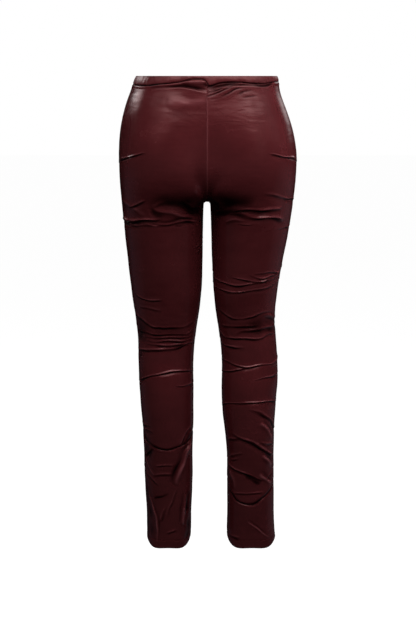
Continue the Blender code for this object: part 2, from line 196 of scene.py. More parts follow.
# The waistband's lower edge across the back, from left to right: on the left of the back the cloth below
# rolls up over it, and on the right it is pulled down to the seam.
BAND_EDGE = np.array([
    # across  drop
    (-156, 13.5),
    (-136, 15.5),
    (-117, 15.5),
    (-96, 12.8),
    (-76, 11.2),
    (-55, 8.6),
    (-38, 4.4),
    (-26, 2.6),
    (-12, 2.6),
    (-4, 4.4),
    (4, 16.5),
    (11, 15.0),
    (21, 11.2),
    (32, 9.2),
    (44, 8.2),
    (69, 8.8),
    (82, 10.2),
    (98, 11.4),
    (114, 12.0),
    (127, 10.2),
    (140, 8.0),
    (150, 8.0),
])
FRONT_EDGE = 12.0
FRONT_EDGE_START = -20.0
FRONT_EDGE_REACH = 60.0
BAND_ROLL_REACH = 46.0
WAIST_LAP = 1.6
WAIST_LAP_REACH = 1.8
WAIST_TUCK = 2.2
WAIST_TUCK_REACH = 3.4
TUCK_POWER = 4
SIDE_TUCK_LOSS = 0.9
SIDE_TUCK_START = 0.88
# Reach and power of the painted shade in the groove under the band's lower edge
GROOVE_REACH = 3.4
GROOVE_POWER = 6
WAIST_ROLL = 0.9
WAIST_ROLL_PLACE = 5.6
WAIST_ROLL_REACH = 2.6

# ---- the profile of each kind of fold, in shares of its height and width ----
PROFILES = {
    # kind: (crest, its width), (trough, its place, width above and below), (ramp, its width),
    # (rim, its place), lean, painted shade in the trough, painted light on the crest
    "fold": ((0.75, 0.5), (0.85, 1.05, 0.5, 1.5), (0.30, 2.4), (0.0, 1.0), 0.4, 1.0, 0.42),
    "lip": ((0.0, 1.0), (1.05, 0.55, 0.6, 0.85), (0.60, 3.0), (0.22, 1.9), 0.4, 1.0, 0.0),
    "crease": ((0.0, 1.0), (0.90, 0.0, 0.9, 1.0), (0.15, 2.4), (0.12, 2.0), 0.0, 1.0, 0.0),
    "ripple": ((0.9, 0.8), (0.50, 1.5, 0.7, 1.1), (0.0, 1.0), (0.0, 1.0), 0.2, 0.6, 0.3),
    "swell": ((1.0, 1.0), (0.25, 1.8, 0.8, 1.0), (0.0, 1.0), (0.0, 1.0), 0.0, 0.2, 0.3),
    "facet": ((1.0, 1.0), (0.45, -1.5, 0.7, 0.7), (0.0, 1.0), (0.0, 1.0), 0.0, 0.5, 1.0),
    # hollow: a dip whose trough takes painted shade; the shallowest ones are little more than painted
    # shade
    "hollow": ((0.0, 1.0), (1.0, 0.0, 1.5, 1.0), (0.0, 1.0), (0.0, 1.0), 0.0, 0.9, 0.0),
}
RAMP_DROP = 0.45
RIM_WIDTH = 0.55
FOLD_REACH = 7.0
# Painted shade and painted light are full from this fold height on, and spread over these shares of a
# fold's width
FULL_SHADE = 0.6
SHADE_REACH = 1.15
LIGHT_REACH = 0.6
RUN_ON = 70.0
RUN_ON_TO = 114.0
END_TILT = 0.8
END_POWER = 4
SIDE_ANGLE = 90.0
SIDE_LOSS = 0.62
SIDE_REACH = 24.0

# Every fold and crease, listed for each leg. The third number says which end is the stronger, from -1
# for the first to 1 for the last. The path runs along the crest through (angle, drop) points.
FOLDS = {
    # kind, height, width, stronger end, path
    "left": (
        # waist and seat
        ("crease", 1.7, 2.6, 0.6, (
            (24, 21), (7, 20), (-5, 20), (-15, 19), (-25, 19), (-31, 21), (-34, 25), (-38, 29),
        )),
        ("swell", 1.4, 3.4, 0.5, (
            (23, 20), (7, 17), (-3, 15), (-14, 13), (-24, 11), (-31, 10), (-40, 11),
        )),
        ("hollow", 2.4, 3.4, 0, ((-16, 18), (-24, 19), (-31, 22), (-36, 26), (-39, 29))),
        ("hollow", 2.0, 5.5, 0, ((-41, 32), (-39, 22), (-35, 12))),
        ("swell", 0.9, 13.0, 0, ((-4, 52), (-20, 51), (-38, 50))),
        ("ripple", 0.05, 2.4, 0, ((-14, 40), (-25, 46), (-35, 54))),
        ("ripple", 0.04, 2.6, 0, ((-2, 62), (-17, 66), (-30, 76))),
        ("ripple", 0.035, 2.6, 0, ((-6, 46), (-19, 52), (-32, 64))),
        ("ripple", 0.04, 2.4, 0, ((2, 70), (-10, 74), (-22, 82))),
        ("ripple", 0.06, 2.2, 0, ((-23, 70), (-30, 84), (-35, 90))),
        ("ripple", 0.07, 2.0, 0, ((-20, 84), (-24, 88), (-29, 96))),
        ("ripple", 0.05, 2.0, 0, ((-16, 90), (-20, 93), (-26, 101))),
        ("ripple", 0.04, 2.4, 0, ((20, 36), (1, 40), (-10, 43))),
        ("fold", 1.2, 3.0, 0.4, ((84, 177), (53, 169), (30, 160), (14, 155))),
        # under the seat
        ("hollow", 5.0, 9.5, 0.3, (
            (14, 274), (2, 262), (-12, 262), (-28, 266), (-50, 274), (-66, 284),
        )),
        ("hollow", 3.0, 5.0, 0.2, ((-22, 270), (-36, 277), (-58, 283))),
        ("swell", 2.6, 3.6, 0, (
            (-6, 253), (3, 260), (7, 268), (1, 275), (-11, 281), (-24, 288), (-38, 291),
        )),
        ("hollow", 1.8, 4.0, 0, ((13, 272), (7, 281), (-3, 286))),
        ("fold", 1.3, 3.4, 0, ((44, 269), (30, 261), (17, 252))),
        ("swell", 1.4, 7.0, 0, ((66, 254), (44, 264), (20, 284))),
        ("ripple", 2.6, 2.8, 0.2, ((-22, 256), (-35, 265), (-45, 270), (-66, 274))),
        ("ripple", 1.5, 2.2, 0, ((-20, 273), (-37, 279), (-64, 283))),
        ("fold", 3.0, 4.8, 0, (
            (80, 296), (62, 296), (39, 294), (27, 294), (17, 292), (8, 290), (0, 286),
        )),
        ("fold", 1.0, 3.4, 0, ((80, 304), (62, 304), (42, 304), (25, 305), (8, 307))),
        ("fold", 1.4, 4.4, 0.1, (
            (10, 304), (0, 302), (-9, 299), (-17, 297), (-26, 297), (-36, 297), (-54, 298),
        )),
        ("crease", 1.9, 3.2, 0, ((4, 296), (-4, 295), (-11, 294), (-20, 293), (-30, 293), (-46, 293))),
        ("facet", 0.5, 2.4, 0, ((16, 308), (4, 307), (-7, 306))),
        ("ripple", 0.8, 2.2, 0, ((-18, 304), (-26, 304))),
        # thigh and knee
        ("ripple", 0.8, 2.6, 0.3, ((-44, 357), (-72, 345))),
        ("ripple", 0.6, 2.6, 0.3, ((-50, 367), (-72, 358))),
        ("fold", 1.2, 2.6, 0, ((58, 454), (31, 464), (8, 467))),
        ("ripple", 0.5, 3.0, 0, ((52, 481), (8, 485))),
        ("hollow", 1.0, 9.0, 0, ((66, 506), (60, 530), (60, 562))),
        ("hollow", 0.4, 13.0, 0, ((56, 516), (53, 534), (52, 548), (50, 562))),
        ("hollow", 0.26, 14.0, 0, ((30, 534), (0, 540), (-44, 540))),
        ("fold", 1.0, 3.6, -0.2, (
            (76, 494), (64, 502), (49, 508), (36, 518), (26, 522), (10, 522), (-2, 524), (-29, 524),
            (-47, 520), (-65, 514),
        )),
        ("fold", 0.9, 3.2, -0.1, (
            (74, 528), (64, 532), (43, 536), (26, 538), (0, 538), (-31, 538), (-47, 536), (-63, 530),
        )),
        ("fold", 0.8, 3.0, 0.1, (
            (60, 542), (49, 546), (28, 545), (5, 546), (-27, 546), (-41, 544), (-61, 540),
        )),
        ("fold", 0.7, 3.0, -0.1, (
            (49, 552), (28, 553), (5, 553), (-16, 554), (-33, 554), (-51, 550), (-67, 548),
        )),
        ("fold", 0.7, 3.1, 0.1, (
            (49, 559), (32, 559), (19, 560), (5, 562), (-12, 562), (-31, 560), (-43, 558),
        )),
        ("fold", 0.85, 3.7, -0.3, (
            (84, 576), (64, 574), (45, 572), (28, 570), (5, 570), (-14, 568), (-33, 564), (-47, 560),
            (-65, 556), (-80, 552),
        )),
        ("hollow", 0.9, 5.0, -0.3, ((70, 582), (62, 592))),
        ("fold", 1.3, 2.8, -0.1, (
            (84, 644), (58, 636), (31, 626), (5, 618), (-28, 614), (-62, 620), (-90, 627),
        )),
        ("fold", 1.1, 2.3, 0.3, ((-18, 647), (-48, 649), (-84, 646))),
        # calf and ankle
        ("ripple", 1.1, 3.0, -0.3, ((76, 732), (34, 735))),
        ("ripple", 0.9, 2.8, -0.3, ((64, 741), (30, 747))),
        ("lip", 1.6, 4.2, 0, (
            (90, 747), (68, 760), (44, 770), (20, 778), (0, 781), (-20, 777), (-44, 769), (-68, 759),
            (-90, 746),
        )),
        ("hollow", 1.2, 4.6, -0.2, ((84, 752), (62, 762), (36, 770))),
        ("hollow", 1.2, 4.2, 0.2, ((-30, 771), (-50, 766), (-74, 756))),
        ("fold", 1.3, 3.0, 0, ((-66, 737), (-46, 748), (-26, 772))),
        ("hollow", 1.2, 9.0, 0, ((69, 783), (62, 787), (50, 794), (36, 801))),
        ("fold", 1.6, 3.8, 0, ((69, 804), (62, 800), (52, 793), (36, 782))),
        ("facet", 1.4, 2.8, 0, ((69, 808), (60, 818), (47, 830), (34, 842))),
        ("fold", 1.3, 2.8, -0.2, ((78, 832), (64, 838), (44, 847), (24, 865))),
        ("facet", 3.4, 6.0, 0, ((-66, 768), (-55, 782), (-44, 800), (-32, 828), (-20, 862))),
        ("hollow", 2.2, 4.0, -0.2, ((-40, 784), (-27, 806), (-18, 838), (-10, 864))),
        ("ripple", 1.0, 2.6, 0, ((40, 841), (10, 838), (-13, 838))),
        ("ripple", 0.7, 2.4, 0, ((30, 820), (8, 816), (-12, 818))),
        ("crease", 0.7, 2.4, 0, ((40, 895), (19, 889), (2, 880))),
        ("facet", 1.5, 2.6, -0.2, ((62, 868), (50, 894), (37, 924), (29, 956), (27, 992))),
        ("hollow", 0.35, 9.0, 0, ((69, 866), (76, 912), (72, 950), (66, 1000))),
        ("hollow", 0.5, 5.0, 0, ((69, 856), (62, 900), (52, 942), (46, 986))),
        ("ripple", 1.2, 2.6, 0, ((26, 942), (19, 926), (6, 908))),
        ("ripple", 0.9, 2.6, 0, ((8, 930), (-6, 900), (-16, 872))),
        ("facet", 3.0, 4.6, 0, ((-50, 884), (-43, 914), (-40, 950))),
        ("hollow", 2.2, 5.0, 0, ((-66, 930), (-62, 960), (-54, 990))),
        ("hollow", 1.6, 4.0, 0, ((-66, 880), (-52, 902), (-50, 930))),
        ("ripple", 0.9, 2.6, 0, ((4, 967), (-20, 960))),
        # front of the hips, thighs and knees
        ("fold", 2.0, 4.2, -0.3, ((210, 234), (186, 226), (160, 216), (134, 206))),
        ("fold", 2.2, 4.2, -0.3, ((238, 292), (206, 288), (170, 274), (138, 262))),
        ("crease", 1.3, 3.4, -0.4, ((232, 270), (200, 262), (172, 250))),
        ("ripple", 0.9, 3.2, -0.2, ((216, 200), (190, 190), (166, 186))),
        ("fold", 1.2, 3.4, -0.4, ((240, 316), (210, 318), (182, 308))),
        ("ripple", 0.9, 3.0, 0, ((118, 300), (146, 312))),
        ("fold", 1.7, 3.6, -0.3, ((94, 522), (120, 514), (148, 504), (176, 497))),
        ("fold", 1.8, 3.6, -0.3, ((264, 512), (238, 520), (210, 526), (186, 524))),
        ("fold", 1.4, 3.2, -0.3, ((100, 548), (140, 556), (184, 552))),
        ("fold", 2.2, 3.6, 0, ((98, 604), (134, 615), (174, 621), (208, 618), (234, 611))),
        ("fold", 1.4, 3.0, -0.2, ((256, 574), (226, 584), (196, 582))),
        ("ripple", 1.0, 3.0, 0, ((108, 640), (150, 648), (190, 644))),
        # shin and ankle
        ("fold", 2.1, 3.6, 0, ((104, 692), (140, 692), (182, 688), (228, 677))),
        ("ripple", 1.0, 3.0, 0, ((236, 716), (196, 726), (166, 722))),
        ("lip", 2.6, 3.8, 0, ((110, 786), (146, 804), (184, 810), (222, 808), (258, 801))),
        ("fold", 2.3, 3.4, -0.2, ((94, 856), (130, 860), (170, 868), (206, 885))),
        ("fold", 2.4, 3.6, -0.1, ((264, 850), (232, 874), (196, 896), (156, 909))),
        ("crease", 1.6, 3.4, 0, ((250, 826), (216, 834), (180, 830))),
        ("ripple", 1.1, 3.0, 0, ((120, 924), (152, 944), (176, 976))),
        ("swell", 1.8, 5.0, 0, ((228, 920), (214, 950), (222, 984))),
    ),
    "right": (
        # waist and seat
        ("crease", 1.8, 2.2, 0.1, (
            (-26, 27), (-20, 20), (-15, 17), (-5, 16), (8, 16), (21, 17), (32, 14), (50, 9),
        )),
        ("hollow", 2.4, 3.6, 0, ((-37, 22), (-30, 18), (-22, 15), (-13, 13), (-4, 13))),
        ("hollow", 1.6, 4.0, 0, ((-30, 28), (-35, 20), (-36, 10))),
        ("crease", 0.9, 1.8, 0, ((-36, 34), (-30, 27), (-24, 21))),
        ("crease", 0.6, 1.8, 0, ((-35, 41), (-28, 31), (-22, 25), (-16, 21))),
        ("crease", 0.7, 1.8, 0, ((-26, 39), (-18, 33), (-12, 26), (-4, 23))),
        ("crease", 0.45, 1.8, 0, ((-10, 37), (-2, 30), (10, 26))),
        ("crease", 0.3, 1.8, 0, ((-7, 43), (2, 39), (12, 38))),
        ("crease", 0.2, 1.8, 0, ((-33, 47), (-26, 41), (-17, 36))),
        ("ripple", 0.035, 2.2, 0, ((-21, 46), (-12, 52), (0, 53))),
        ("ripple", 0.045, 2.2, 0, ((-35, 68), (-30, 66), (-23, 58))),
        ("ripple", 0.05, 2.0, 0, ((-26, 75), (-16, 70), (-4, 64))),
        ("ripple", 0.065, 2.0, 0, ((-14, 72), (-4, 80), (6, 82))),
        ("ripple", 0.09, 1.9, 0, ((-18, 81), (-7, 86), (4, 94))),
        ("ripple", 0.085, 1.9, 0, ((-33, 90), (-25, 88), (-14, 90), (-3, 97))),
        ("ripple", 0.08, 1.9, 0, ((-37, 94), (-30, 96), (-21, 95))),
        ("ripple", 0.09, 1.9, 0, ((-15, 96), (-7, 98), (1, 103))),
        ("ripple", 0.05, 1.9, 0, ((-36, 108), (-29, 108))),
        ("ripple", 0.04, 1.9, 0, ((-26, 104), (-16, 104))),
        ("fold", 1.5, 3.0, -0.3, ((14, 157), (40, 163), (69, 171), (86, 175))),
        # under the seat
        ("hollow", 5.0, 9.5, -0.3, ((-70, 274), (-54, 268), (-33, 263), (-16, 261), (2, 266))),
        ("hollow", 3.6, 6.0, -0.3, ((-66, 288), (-40, 281), (-18, 279), (-2, 276), (20, 275))),
        ("fold", 1.6, 3.8, 0.1, ((10, 237), (18, 239), (30, 243), (55, 249), (80, 254))),
        ("ripple", 2.2, 2.2, 0, ((-66, 284), (-48, 274), (-37, 267))),
        ("fold", 3.4, 5.4, 0.3, (
            (-28, 279), (-16, 275), (-5, 271), (6, 269), (13, 268), (22, 268), (38, 270),
        )),
        ("fold", 2.6, 5.0, 0.1, (
            (-36, 283), (-28, 282), (-15, 282), (-4, 283), (6, 285), (15, 286), (25, 288), (48, 294),
        )),
        ("swell", 0.9, 3.0, 0, ((-62, 286), (-62, 308), (-62, 334))),
        ("ripple", 1.0, 3.0, 0, ((-36, 302), (-28, 297), (-20, 293), (-8, 292))),
        ("ripple", 1.0, 2.4, 0, ((-18, 299), (0, 302))),
        ("fold", 1.2, 3.0, 0.3, ((36, 312), (50, 312), (66, 311), (84, 310))),
        # thigh and knee
        ("fold", 1.5, 2.5, 0.3, ((8, 407), (32, 406), (60, 405), (86, 399))),
        ("fold", 1.4, 2.3, 0.2, ((2, 411), (22, 416), (50, 413))),
        ("fold", 1.4, 2.3, 0.3, ((-26, 416), (-6, 422), (14, 424), (42, 419))),
        ("fold", 1.4, 2.3, -0.1, (
            (-88, 410), (-60, 422), (-35, 430), (-10, 432), (14, 428), (45, 422), (64, 415),
        )),
        ("fold", 1.6, 2.6, -0.4, (
            (-86, 434), (-63, 442), (-41, 444), (-18, 444), (12, 442), (54, 434), (80, 427),
        )),
        ("fold", 1.0, 3.6, -0.2, (
            (-60, 484), (-51, 490), (-41, 496), (-33, 500), (-25, 503), (-11, 503), (2, 500),
            (13, 498), (24, 494), (36, 492), (60, 494),
        )),
        ("fold", 1.9, 6.0, 0.3, ((32, 500), (47, 502), (74, 506), (88, 508))),
        ("fold", 0.9, 3.6, -0.2, ((-60, 522), (-49, 522), (-29, 522), (-13, 522), (5, 520), (22, 517))),
        ("fold", 1.3, 4.4, 0.3, (
            (-32, 541), (-22, 536), (-13, 532), (0, 530), (14, 528), (33, 526), (63, 523), (84, 521),
        )),
        ("hollow", 0.8, 5.0, 0.3, ((2, 539), (28, 535), (56, 532), (84, 529))),
        ("hollow", 0.4, 8.0, 0.3, ((20, 514), (50, 516), (82, 518))),
        ("fold", 1.1, 3.6, 0.3, (
            (-72, 532), (-58, 540), (-49, 544), (-37, 546), (-22, 548), (-5, 548), (12, 548),
            (27, 546), (42, 540), (66, 538),
        )),
        ("fold", 1.1, 3.4, -0.2, (
            (-74, 558), (-63, 563), (-53, 566), (-43, 566), (-29, 566), (-12, 566),
        )),
        ("hollow", 0.35, 14.0, 0.4, ((-50, 520), (0, 524), (50, 522))),
        ("fold", 1.1, 2.3, 0.1, (
            (-84, 589), (-67, 596), (-31, 604), (-5, 608), (25, 604), (60, 600), (90, 593),
        )),
        ("fold", 1.2, 2.6, -0.3, ((-88, 626), (-63, 622), (-31, 612), (-3, 608))),
        ("swell", 2.0, 4.5, 0.3, ((40, 608), (58, 604), (84, 598))),
        ("fold", 1.1, 2.4, 0.3, ((-2, 638), (7, 635), (29, 630), (60, 630), (88, 626))),
        # calf and ankle
        ("fold", 1.2, 2.6, 0, ((-84, 696), (-57, 688), (-23, 682), (15, 680), (60, 684), (90, 689))),
        ("fold", 1.7, 4.2, 0.3, ((-6, 697), (13, 702), (34, 709), (60, 725), (86, 743))),
        ("facet", 2.8, 5.6, 0.2, ((22, 726), (38, 742), (62, 766))),
        ("fold", 2.2, 4.6, 0.5, ((-44, 750), (-22, 757), (4, 768), (34, 787), (60, 799), (69, 803))),
        ("facet", 0.7, 2.6, 0.2, ((10, 768), (34, 783), (66, 798))),
        ("ripple", 1.2, 2.6, 0.2, ((14, 768), (34, 771), (68, 774))),
        ("ripple", 0.9, 2.6, 0, ((-62, 766), (-24, 759))),
        ("ripple", 1.0, 2.6, 0, ((-58, 802), (-20, 791))),
        ("ripple", 0.8, 2.4, 0, ((-54, 810), (-28, 803))),
        ("facet", 2.6, 4.5, 0.2, ((26, 800), (42, 812), (64, 826))),
        ("fold", 1.5, 3.2, 0.1, ((-74, 816), (-53, 824), (-20, 834), (10, 844), (32, 852))),
        ("hollow", 1.8, 4.6, 0.1, ((-20, 843), (2, 851), (24, 864))),
        ("facet", 1.6, 4.4, 0, ((20, 838), (38, 850), (58, 864))),
        ("fold", 1.3, 2.8, 0, ((88, 828), (69, 836), (50, 843), (36, 851))),
        ("lip", 1.7, 4.2, 0, (
            (-90, 852), (-64, 873), (-48, 885), (-30, 895), (-8, 900), (12, 898), (32, 886), (56, 873),
            (84, 860),
        )),
        ("ripple", 1.1, 2.4, 0, ((-48, 881), (-10, 879), (32, 879))),
        ("facet", 1.0, 2.2, 0, ((-7, 939), (17, 956), (48, 980))),
        ("swell", 1.5, 5.0, 0, ((-58, 830), (-50, 852), (-42, 874))),
        ("ripple", 0.8, 2.6, 0, ((-64, 980), (-30, 979))),
        # front of the hips, thighs and knees
        ("fold", 2.0, 4.2, -0.3, ((212, 230), (184, 226), (156, 220), (126, 212))),
        ("fold", 2.2, 4.2, -0.3, ((234, 284), (206, 286), (176, 280), (146, 267))),
        ("crease", 1.3, 3.4, -0.4, ((228, 262), (198, 256), (170, 246))),
        ("ripple", 0.9, 3.2, -0.2, ((216, 204), (186, 192), (160, 190))),
        ("fold", 1.2, 3.4, -0.4, ((238, 310), (206, 314), (178, 306))),
        ("ripple", 0.9, 3.0, 0, ((116, 318), (150, 328))),
        ("ripple", 1.0, 3.0, -0.3, ((100, 402), (134, 410), (168, 408))),
        ("fold", 1.7, 3.6, -0.3, ((102, 486), (128, 496), (154, 504), (178, 508))),
        ("fold", 1.8, 3.6, -0.3, ((266, 530), (240, 520), (216, 512), (194, 505))),
        ("fold", 1.4, 3.2, -0.3, ((104, 538), (142, 548), (186, 546))),
        ("fold", 2.2, 3.6, 0, ((108, 602), (142, 607), (174, 609), (208, 602), (238, 591))),
        ("fold", 1.4, 3.0, -0.2, ((258, 562), (228, 572), (198, 570))),
        ("ripple", 1.0, 3.0, 0, ((110, 630), (152, 638), (194, 632))),
        # shin and ankle
        ("fold", 2.1, 3.6, 0, ((116, 664), (154, 675), (200, 680), (248, 676))),
        ("ripple", 1.0, 3.0, 0, ((240, 706), (204, 716), (170, 712))),
        ("fold", 2.4, 3.6, -0.1, ((102, 772), (138, 775), (178, 766), (216, 748))),
        ("fold", 2.4, 3.6, -0.1, ((260, 796), (224, 818), (184, 830), (138, 836))),
        ("crease", 1.6, 3.4, 0, ((112, 800), (146, 808), (182, 800))),
        ("lip", 2.6, 3.8, 0, ((106, 906), (142, 920), (180, 920), (218, 908), (252, 884))),
        ("ripple", 1.1, 3.0, 0, ((124, 862), (158, 872), (196, 870))),
        ("ripple", 1.1, 3.0, 0, ((222, 934), (196, 954), (168, 984))),
    ),
}

# ---- unevenness of the leather: height, then the waves' length round, deep and down, and the seed ----
LOW_WAVES = (0.26, (110.0, 110.0, 75.0), 11)
FINE_WAVES = (0.045, (46.0, 46.0, 15.0), 23)
PATH_SWAY = ((1.6, (60.0, 60.0, 45.0), 31), (1.3, (70.0, 70.0, 38.0), 47))
STRENGTH_WAVES = (0.22, (38.0, 38.0, 38.0), 59)
WAVE_COUNT = 26
WAVE_PITCHES = (0.6, 1.5)

# Where each panel lies on the hide, so that no two have the same grain.
PIECE_SHIFT = {
    ("left", "back"): (0, 0),
    ("right", "back"): (410, 170),
    ("left", "front"): (830, 90),
    ("right", "front"): (1270, 330),
}

# ---- seams and hem ----
CENTRE_RIDGE = 0.85
CENTRE_RIDGE_REACH = 1.1
SIDE_RIDGE = 0.2
SIDE_RIDGE_REACH = 1.8
# Strength and reach of a painted light line along the centre seam and inseam
SEAM_LIGHT = 0.3
SEAM_LIGHT_REACH = 1.3
FLATTEN_TIMES = 12
HEM_TURN = 17.0
HEM_STEP = 0.22
HEM_STEP_EASE = 1.6
HEM_STITCH = 1.6 * HEM_STEP
HEM_STITCH_REACH = 0.8 * HEM_STEP_EASE
HEM_EXTRA_WALL = 0.9
EDGE_ROUNDING = 0.35
EDGE_ROUNDING_REACH = 1.0


def eased(table, column, drop):
    """Cubic Hermite curve through one column of a table, with slopes from the neighbours."""
    drops, values = table[:, DROP], table[:, column]
    slopes = np.gradient(values, drops)
    row = np.clip(np.searchsorted(drops, drop, side="right") - 1, 0, len(drops) - 2)
    step = drops[row + 1] - drops[row]
    t = np.clip((drop - drops[row]) / step, 0, 1)
    level = values[row] * (1 + 2 * t) * (1 - t) ** 2 + values[row + 1] * t * t * (3 - 2 * t)
    return level + step * (slopes[row] * t * (1 - t) ** 2 - slopes[row + 1] * t * t * (1 - t))


@functools.lru_cache(maxsize=None)
def soft_curve(name, column):
    """A table's column at every millimetre of drop: the eased curve under a Gaussian running mean."""
    table = TABLES[name]
    drops = np.arange(table[0, DROP], table[-1, DROP] + 1)
    half = int(3 * TABLE_SOFTNESS)
    weights = np.exp(-0.5 * (np.arange(-half, half + 1) / TABLE_SOFTNESS) ** 2)
    values = np.pad(eased(table, column, drops), half, mode="reflect", reflect_type="odd")
    return drops, np.convolve(values, weights / weights.sum(), "valid")


def read(name, column, drop):
    """The softened value of a table's column at each drop."""
    return np.interp(drop, *soft_curve(name, column))


def smooth_step(value):
    """0 below 0, 1 above 1, and 3t^2 - 2t^3 between."""
    t = np.clip(value, 0, 1)
    return t * t * (3 - 2 * t)


def bell(distance, reach, power=2):
    """A bell curve, exp(-(distance / reach)^power): 1 in the middle and nothing far away."""
    return np.exp(-((distance / reach) ** power))


def unit(vectors):
    """Vectors scaled to length one."""
    return vectors / np.maximum(np.linalg.norm(vectors, axis=-1, keepdims=True), 1e-9)


def waves(points, waveform):
    """Smooth unevenness of the given height: a sum of plane waves, drawn from the seed, that cross the
    points at random headings and phases."""
    height, lengths, seed = waveform
    draw = np.random.default_rng(seed)
    headings = unit(draw.normal(size=(WAVE_COUNT, 3)))
    pitches = draw.uniform(*WAVE_PITCHES, (WAVE_COUNT, 1))
    phases = draw.uniform(0, math.tau, WAVE_COUNT)
    turns = math.tau * headings * pitches / np.array(lengths)
    return height * np.sin(points @ turns.T + phases).sum(-1) * math.sqrt(2 / WAVE_COUNT)


def bezier(start, leave, arrive, end):
    """Cubic Bezier curves, one for each row of points."""
    t = np.linspace(0, 1, STRETCH_POINTS)[None, :, None]
    start, leave, arrive, end = (p[:, None, :] for p in (start, leave, arrive, end))
    return start * (1 - t) ** 3 + 3 * leave * t * (1 - t) ** 2 + 3 * arrive * t * t * (1 - t) + end * t**3


def leg_sizes(leg, drop):
    """Outer and inner half width of a leg."""
    outer = read("outline", LEFT_OUTER if leg == "left" else RIGHT_OUTER, drop)
    inner = read("outline", LEFT_INNER if leg == "left" else RIGHT_INNER, drop)
    return outer, inner


def centre_seam_depth(drop, turn_drop, column):
    """Depth of a centre seam: it follows the hips, then swings under on a quarter of a superellipse."""
    crotch = read("depth", SIDE, CROTCH_DROP)
    full = read("hip", column, np.minimum(drop, turn_drop))
    under = np.clip((drop - turn_drop) / (CROTCH_DROP - turn_drop), 0, 1)
    return crotch + (full - crotch) * (1 - under**CURVE_POWER) ** (1 / CURVE_POWER)


def section(leg, face, drop):
    """Plan curves of one panel from the side seam to the centre seam or inseam, one row for each drop.

    Three Bezier stretches: side seam to fullest line, fullest line to hook, and the hook into the seam.
    Below the crotch the inner edge opens in a small round arch."""
    back = face == "back"
    outward = -1.0 if back else 1.0
    hips = drop <= CROTCH_DROP
    hip_drop = np.minimum(drop, CROTCH_DROP)
    outer, wide_inner = leg_sizes(leg, drop)
    opened = np.sqrt(1 - (1 - np.clip((drop - CROTCH_DROP) / CROTCH_ARCH, 0, 1)) ** 2)
    inner = wide_inner * opened
    side_y = read("depth", SIDE, drop)
    full_y = read("depth", BACK if back else FRONT, drop)
    turn_drop, seam_column = (SEAT_TURN_DROP, SEAT_SEAM) if back else (FLY_TURN_DROP, FLY_SEAM)
    seam_y = np.where(hips, centre_seam_depth(drop, turn_drop, seam_column), side_y)
    full_out = read("hip", SEAT_OUT if back else BELLY_OUT, hip_drop)
    full_x = np.where(hips, full_out, (wide_inner + outer) / 2)
    hook_out = read("hip", HOOK_OUT, hip_drop)
    hook_x = np.where(hips, hook_out, np.maximum(inner, hook_out))
    hook_y = seam_y + outward * read("hip", HOOK_DEEP, hip_drop)
    turn = np.radians(read("hip", TURN, hip_drop))
    end_x = np.where(hips, 0.0, inner)

    side = np.stack([outer, side_y], -1)
    full = np.stack([full_x, full_y], -1)
    hook = np.stack([hook_x, hook_y], -1)
    end = np.stack([end_x, seam_y], -1)
    heading = np.stack([-np.cos(turn), -outward * np.sin(turn)], -1)
    arriving = np.stack([opened - 1.0, -outward * opened], -1)

    across = np.stack([outer - full_x, np.zeros_like(drop)], -1)
    deep = np.stack([np.zeros_like(drop), full_y - side_y], -1)
    inward = np.stack([hook_x - full_x, np.zeros_like(drop)], -1)
    reach = np.abs(seam_y - full_y) * np.sin(turn) + np.abs(full_x - hook_x) * np.cos(turn)
    short = HOOK_HANDLE * np.linalg.norm(end - hook, axis=1)[:, None]
    first = bezier(side, side + ROUNDNESS * deep, full + ROUNDNESS * across, full)
    second = bezier(full, full + HANDLE * inward, hook - HANDLE * reach[:, None] * heading, hook)
    third = bezier(hook, hook + short * heading, end - short * arriving, end)
    return np.concatenate([first, second[:, 1:], third[:, 1:]], axis=1)


def arc_lengths(curves):
    """Distance along each row's curve up to each of its points."""
    steps = np.linalg.norm(np.diff(curves, axis=1), axis=-1)
    return np.concatenate([np.zeros((len(curves), 1)), np.cumsum(steps, axis=1)], axis=1)


def columns_along(length):
    """Where a panel's columns lie on curves of these lengths: close at both edges, even between."""
    edge = np.broadcast_to(EDGE_COLUMNS, (len(length), len(EDGE_COLUMNS)))
    last = edge[:, -1:]
    even = np.linspace(0, 1, PANEL_COLUMNS - 2 * len(EDGE_COLUMNS) + 2)[None, 1:-1]
    between = last + even * (length[:, None] - 2 * last)
    return np.concatenate([edge, between, length[:, None] - edge[:, ::-1]], axis=1)


def resampled(curves, places):
    """Each row's curve read at its own places along its length."""
    lengths = arc_lengths(curves)
    rows = [
        np.stack([np.interp(place, length, curve[:, axis]) for axis in range(curve.shape[1])], -1)
        for place, length, curve in zip(places, lengths, curves)
    ]
    return np.stack(rows)


def mean_matrix(places, reach):
    """Rows of Gaussian weights that turn values at uneven places into their running means."""
    share = np.gradient(places)
    weights = np.exp(-0.5 * ((places[:, None] - places[None, :]) / reach) ** 2) * share
    return weights / weights.sum(1, keepdims=True)


